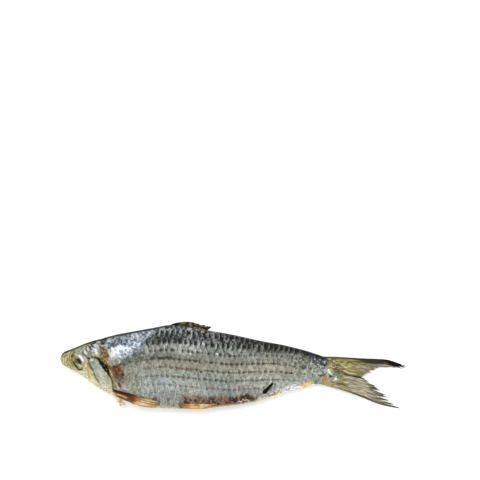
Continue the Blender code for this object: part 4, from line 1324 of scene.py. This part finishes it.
def make_fins():
    """Each fin's build: rays, strands to a ray, the web's reach, a strand's width, thickness, raggedness."""
    tail, small = (20, 4, 0.96, 0.74, 0.46, 0.09), (6, 2, 0.95, 0.45, 0.4, 0.15)
    fin_piece("tail_fin", (TAIL_TOP, TAIL_FOOT), tail_height, tail, tail_colour, 4, TAIL_FORK, TAIL_TEARS)
    fin_piece("back_fin", BACK_FIN, folded_back, (8, 2, 0.92, 0.8, 0.5, 0.25), back_fin_colour, 7)
    fin_piece("anal_fin", ANAL_FIN, flat, (17, 2, 0.95, 0.8, 0.45, 0.2), anal_fin_colour, 11)
    fin_piece("breast_fin", BREAST_FIN, on_edge, (9, 3, 0.88, 0.42, 0.4, 0.22), breast_fin_colour, 5)
    far = (6, 2, 0.95, 0.6, 0.4, 0.15)
    fin_piece("far_breast_fin", FAR_BREAST_FIN, under_edge, far, far_breast_fin_colour, 9)
    fin_piece("belly_fin", BELLY_FIN, beside_keel(1), small, belly_fin_colour, 4)
    fin_piece("far_belly_fin", BELLY_FIN, beside_keel(-1), small, belly_fin_colour, 2)


# --- Eyes, gills, sliver


def eye_paint(along, up):
    """A clouded, shrunken iris with a hollow black pupil, and a painted highlight: a white glint at its rear
    corner.
    """
    paint = Paint(along, up)
    paint.lay((142, 137, 94))
    paint.speckle(1, ((88, 80, 46), 0.75, 0.95, 0.42, 121), ((184, 178, 130), 0.6, 0.8, 0.26, 122))
    paint.lay((186, 180, 132), rise(along - 0.6 * up, 8.6, 10.6) * fall(up, -2.6, -1.0) * 0.8)
    paint.mark(*EYEBALL_MARKS)
    return np.clip(paint.colour, 0, 1)


def eye_piece(name, side):
    """The dried eyeball: a low wrinkled dome in its socket."""
    rings, spokes = 34, 84
    r = np.linspace(0, 1, rings + 1)[1:, None]
    angle = np.linspace(0, 2 * math.pi, spokes, endpoint=False)

    def placed(x, y, r):
        """Points of the dome at places along and across the eye."""
        x, y = turned(x, y, -EYE_TILT)
        x, y = EYE_CENTRE[0] + x, EYE_CENTRE[1] + y
        dome = -0.42 + 0.42 * (1 - r**2) - 0.28 * bump(np.hypot((x - 8.3) / 1.0, (y + 0.8) / 1.5), 0.9)
        wrinkle = 0.08 * (rough(x * 1.2, y * 1.2, 126) - 0.5)
        along, up = unseen(x, y)
        return np.stack((along, up, flank_height(along, up, side) + side * (dome + wrinkle)), -1)

    dome = placed(0.93 * EYE_LONG * r * np.cos(angle), 0.93 * EYE_SHORT * r * np.sin(angle), r).reshape(-1, 3)
    centre = placed(0.0, 0.0, 0.0)
    points = np.vstack(([centre], dome, dome[-spokes:] - (0, 0, 0.4 * side), [centre - (0, 0, 0.8 * side)]))
    faces = [face[::side] for face in capped_faces(rings + 1, spokes)]
    paint = eye_paint(*seen(points[:, 0], points[:, 1]))
    return new_piece(name, "eye", points, faces, paint, 1)


def rod_mesh(centres, widths, sides):
    """A closed tapering rod through points."""
    heading = np.gradient(centres, axis=0)
    heading /= np.linalg.norm(heading, axis=1, keepdims=True)
    across = np.cross(heading, (0, 0, 1.0))
    across /= np.maximum(np.linalg.norm(across, axis=1, keepdims=True), 1e-9)
    upward = np.cross(across, heading)
    angle = np.linspace(0, 2 * math.pi, sides, endpoint=False)
    ring = across[:, None] * np.cos(angle)[:, None] + upward[:, None] * np.sin(angle)[:, None]
    points = (centres[:, None] + ring * widths[:, None, None] / 2).reshape(-1, 3)
    ends = [tuple(reversed(range(sides))), tuple(range(len(points) - sides, len(points)))]
    return points, tube_faces(0, len(centres), sides) + ends


def gill_filaments():
    """Dried gill filaments that show in the open slit, some with pale tips."""
    chance = np.random.default_rng(17)
    points, faces, tints = [], [], []
    t = np.linspace(0, 1, 7)
    for side, share in itertools.product((1, -1), np.linspace(0.22, 0.56, 11)):
        x, y = curve_through(GILL_EDGE, share)
        luck = chance.random(3)
        reach = (0.3 + 0.5 * luck[0]) * gill_width(share)
        along, up = unseen(x + 0.05 + reach * t, y + 0.25 * (luck[1] - 0.5) - 0.4 * t)
        depth = -0.72 + 0.2 * np.sin(math.pi * t) + 0.15 * luck[2]
        flank = flank_height(along, up, side)
        flank = rest_on_floor(flank) if side < 0 else flank
        made, corners = rod_mesh(np.stack((along, up, flank + side * depth), -1), 0.24 * (1 - 0.6 * t), 5)
        faces += [tuple(len(points) + p for p in corner) for corner in corners]
        points.extend(made)
        paint = Paint(along, up)
        paint.lay((52, 26, 18))
        paint.lay((190, 180, 160), rise(t, 0.4, 0.9) * (0.7 if luck[0] > 0.8 else 0.1))
        tints.extend(np.repeat(paint.colour, 5, 0))
    return new_piece("gill_filaments", "flesh", points, faces, tints, 0.5)


def sliver_piece():
    """A thin black wedge that lies on the rear flank, blunt at its lower end."""
    t = np.linspace(0, 1, 14)
    (foot_along, foot_up), (tip_along, tip_up) = (91.1, -10.9), (95.2, -6.1)
    along, up = unseen(foot_along + (tip_along - foot_along) * t, foot_up + (tip_up - foot_up) * t)
    height = flank_height(along, up) + 0.16
    wide = (2.0 - 1.0 * t) * np.sqrt(np.clip(1 - (2 * t - 1) ** 14, 0.05, 1))
    points, faces = rod_mesh(np.stack((along, up, height), -1), wide, 8)
    middle = np.repeat(height, 8)
    points[:, 2] = middle + (points[:, 2] - middle) * 0.32
    return new_piece("black_sliver", "flesh", points, faces, srgb(9, 7, 7), 0.3)


# --- Stage

CAMERA_ELEVATION = math.radians(80)
CAMERA_ROLL = math.radians(2.83)
CAMERA_DISTANCE = 0.60294  # metres, from the target
CAMERA_TARGET = Vector((-0.00025, 0.05812, 0.005))


def make_stage():
    n = Nodes("pale_floor")
    n.finish(Roughness=n.spread(n.noise(6, 2), 0.60, 0.68), Specular_IOR_Level=0.2)
    n.finish(Base_Color=(0.93, 0.93, 0.93, 1), Emission_Color=(1, 1, 1, 1), Emission_Strength=0.3)
    bpy.ops.mesh.primitive_plane_add(size=3.0, location=(0, 0, CAD_LOW.z))
    floor = bpy.context.object
    floor.name = "floor"
    floor.data.materials.append(n.material)

    world = bpy.data.worlds.new("soft_studio")
    world.use_nodes = True
    world.node_tree.nodes["Background"].inputs["Color"].default_value = (0.99, 0.99, 0.975, 1)
    world.node_tree.nodes["Background"].inputs["Strength"].default_value = 0.74
    bpy.context.scene.world = world

    key = place_object("key_light", bpy.data.lights.new("key_light", "SUN"))
    key.data.energy = 1.35
    key.data.angle = math.radians(40)
    key.data.color = (1.0, 0.985, 0.96)
    key.rotation_euler = Vector((0.30, -0.50, -1.0)).to_track_quat("-Z", "Y").to_euler()
    bpy.context.scene.view_settings.view_transform = "Standard"


def make_camera():
    camera = place_object("camera", bpy.data.cameras.new("camera"))
    camera.data.lens = 100
    camera.data.sensor_width = 36
    camera.data.clip_start = 0.01
    back = Vector((0, -math.cos(CAMERA_ELEVATION), math.sin(CAMERA_ELEVATION)))
    camera.location = CAMERA_TARGET + back * CAMERA_DISTANCE
    camera.rotation_mode = "QUATERNION"
    camera.rotation_quaternion = (-back).to_track_quat("-Z", "Y") @ Quaternion((0, 0, 1), CAMERA_ROLL)
    bpy.context.scene.camera = camera


def main():
    make_camera()
    make_stage()
    skin = "dried_skin"
    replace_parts(body_piece(skin), "fish")
    make_fins()
    eye_piece("eye", 1)
    eye_piece("far_eye", -1)
    gill_filaments()
    sliver_piece()


main()
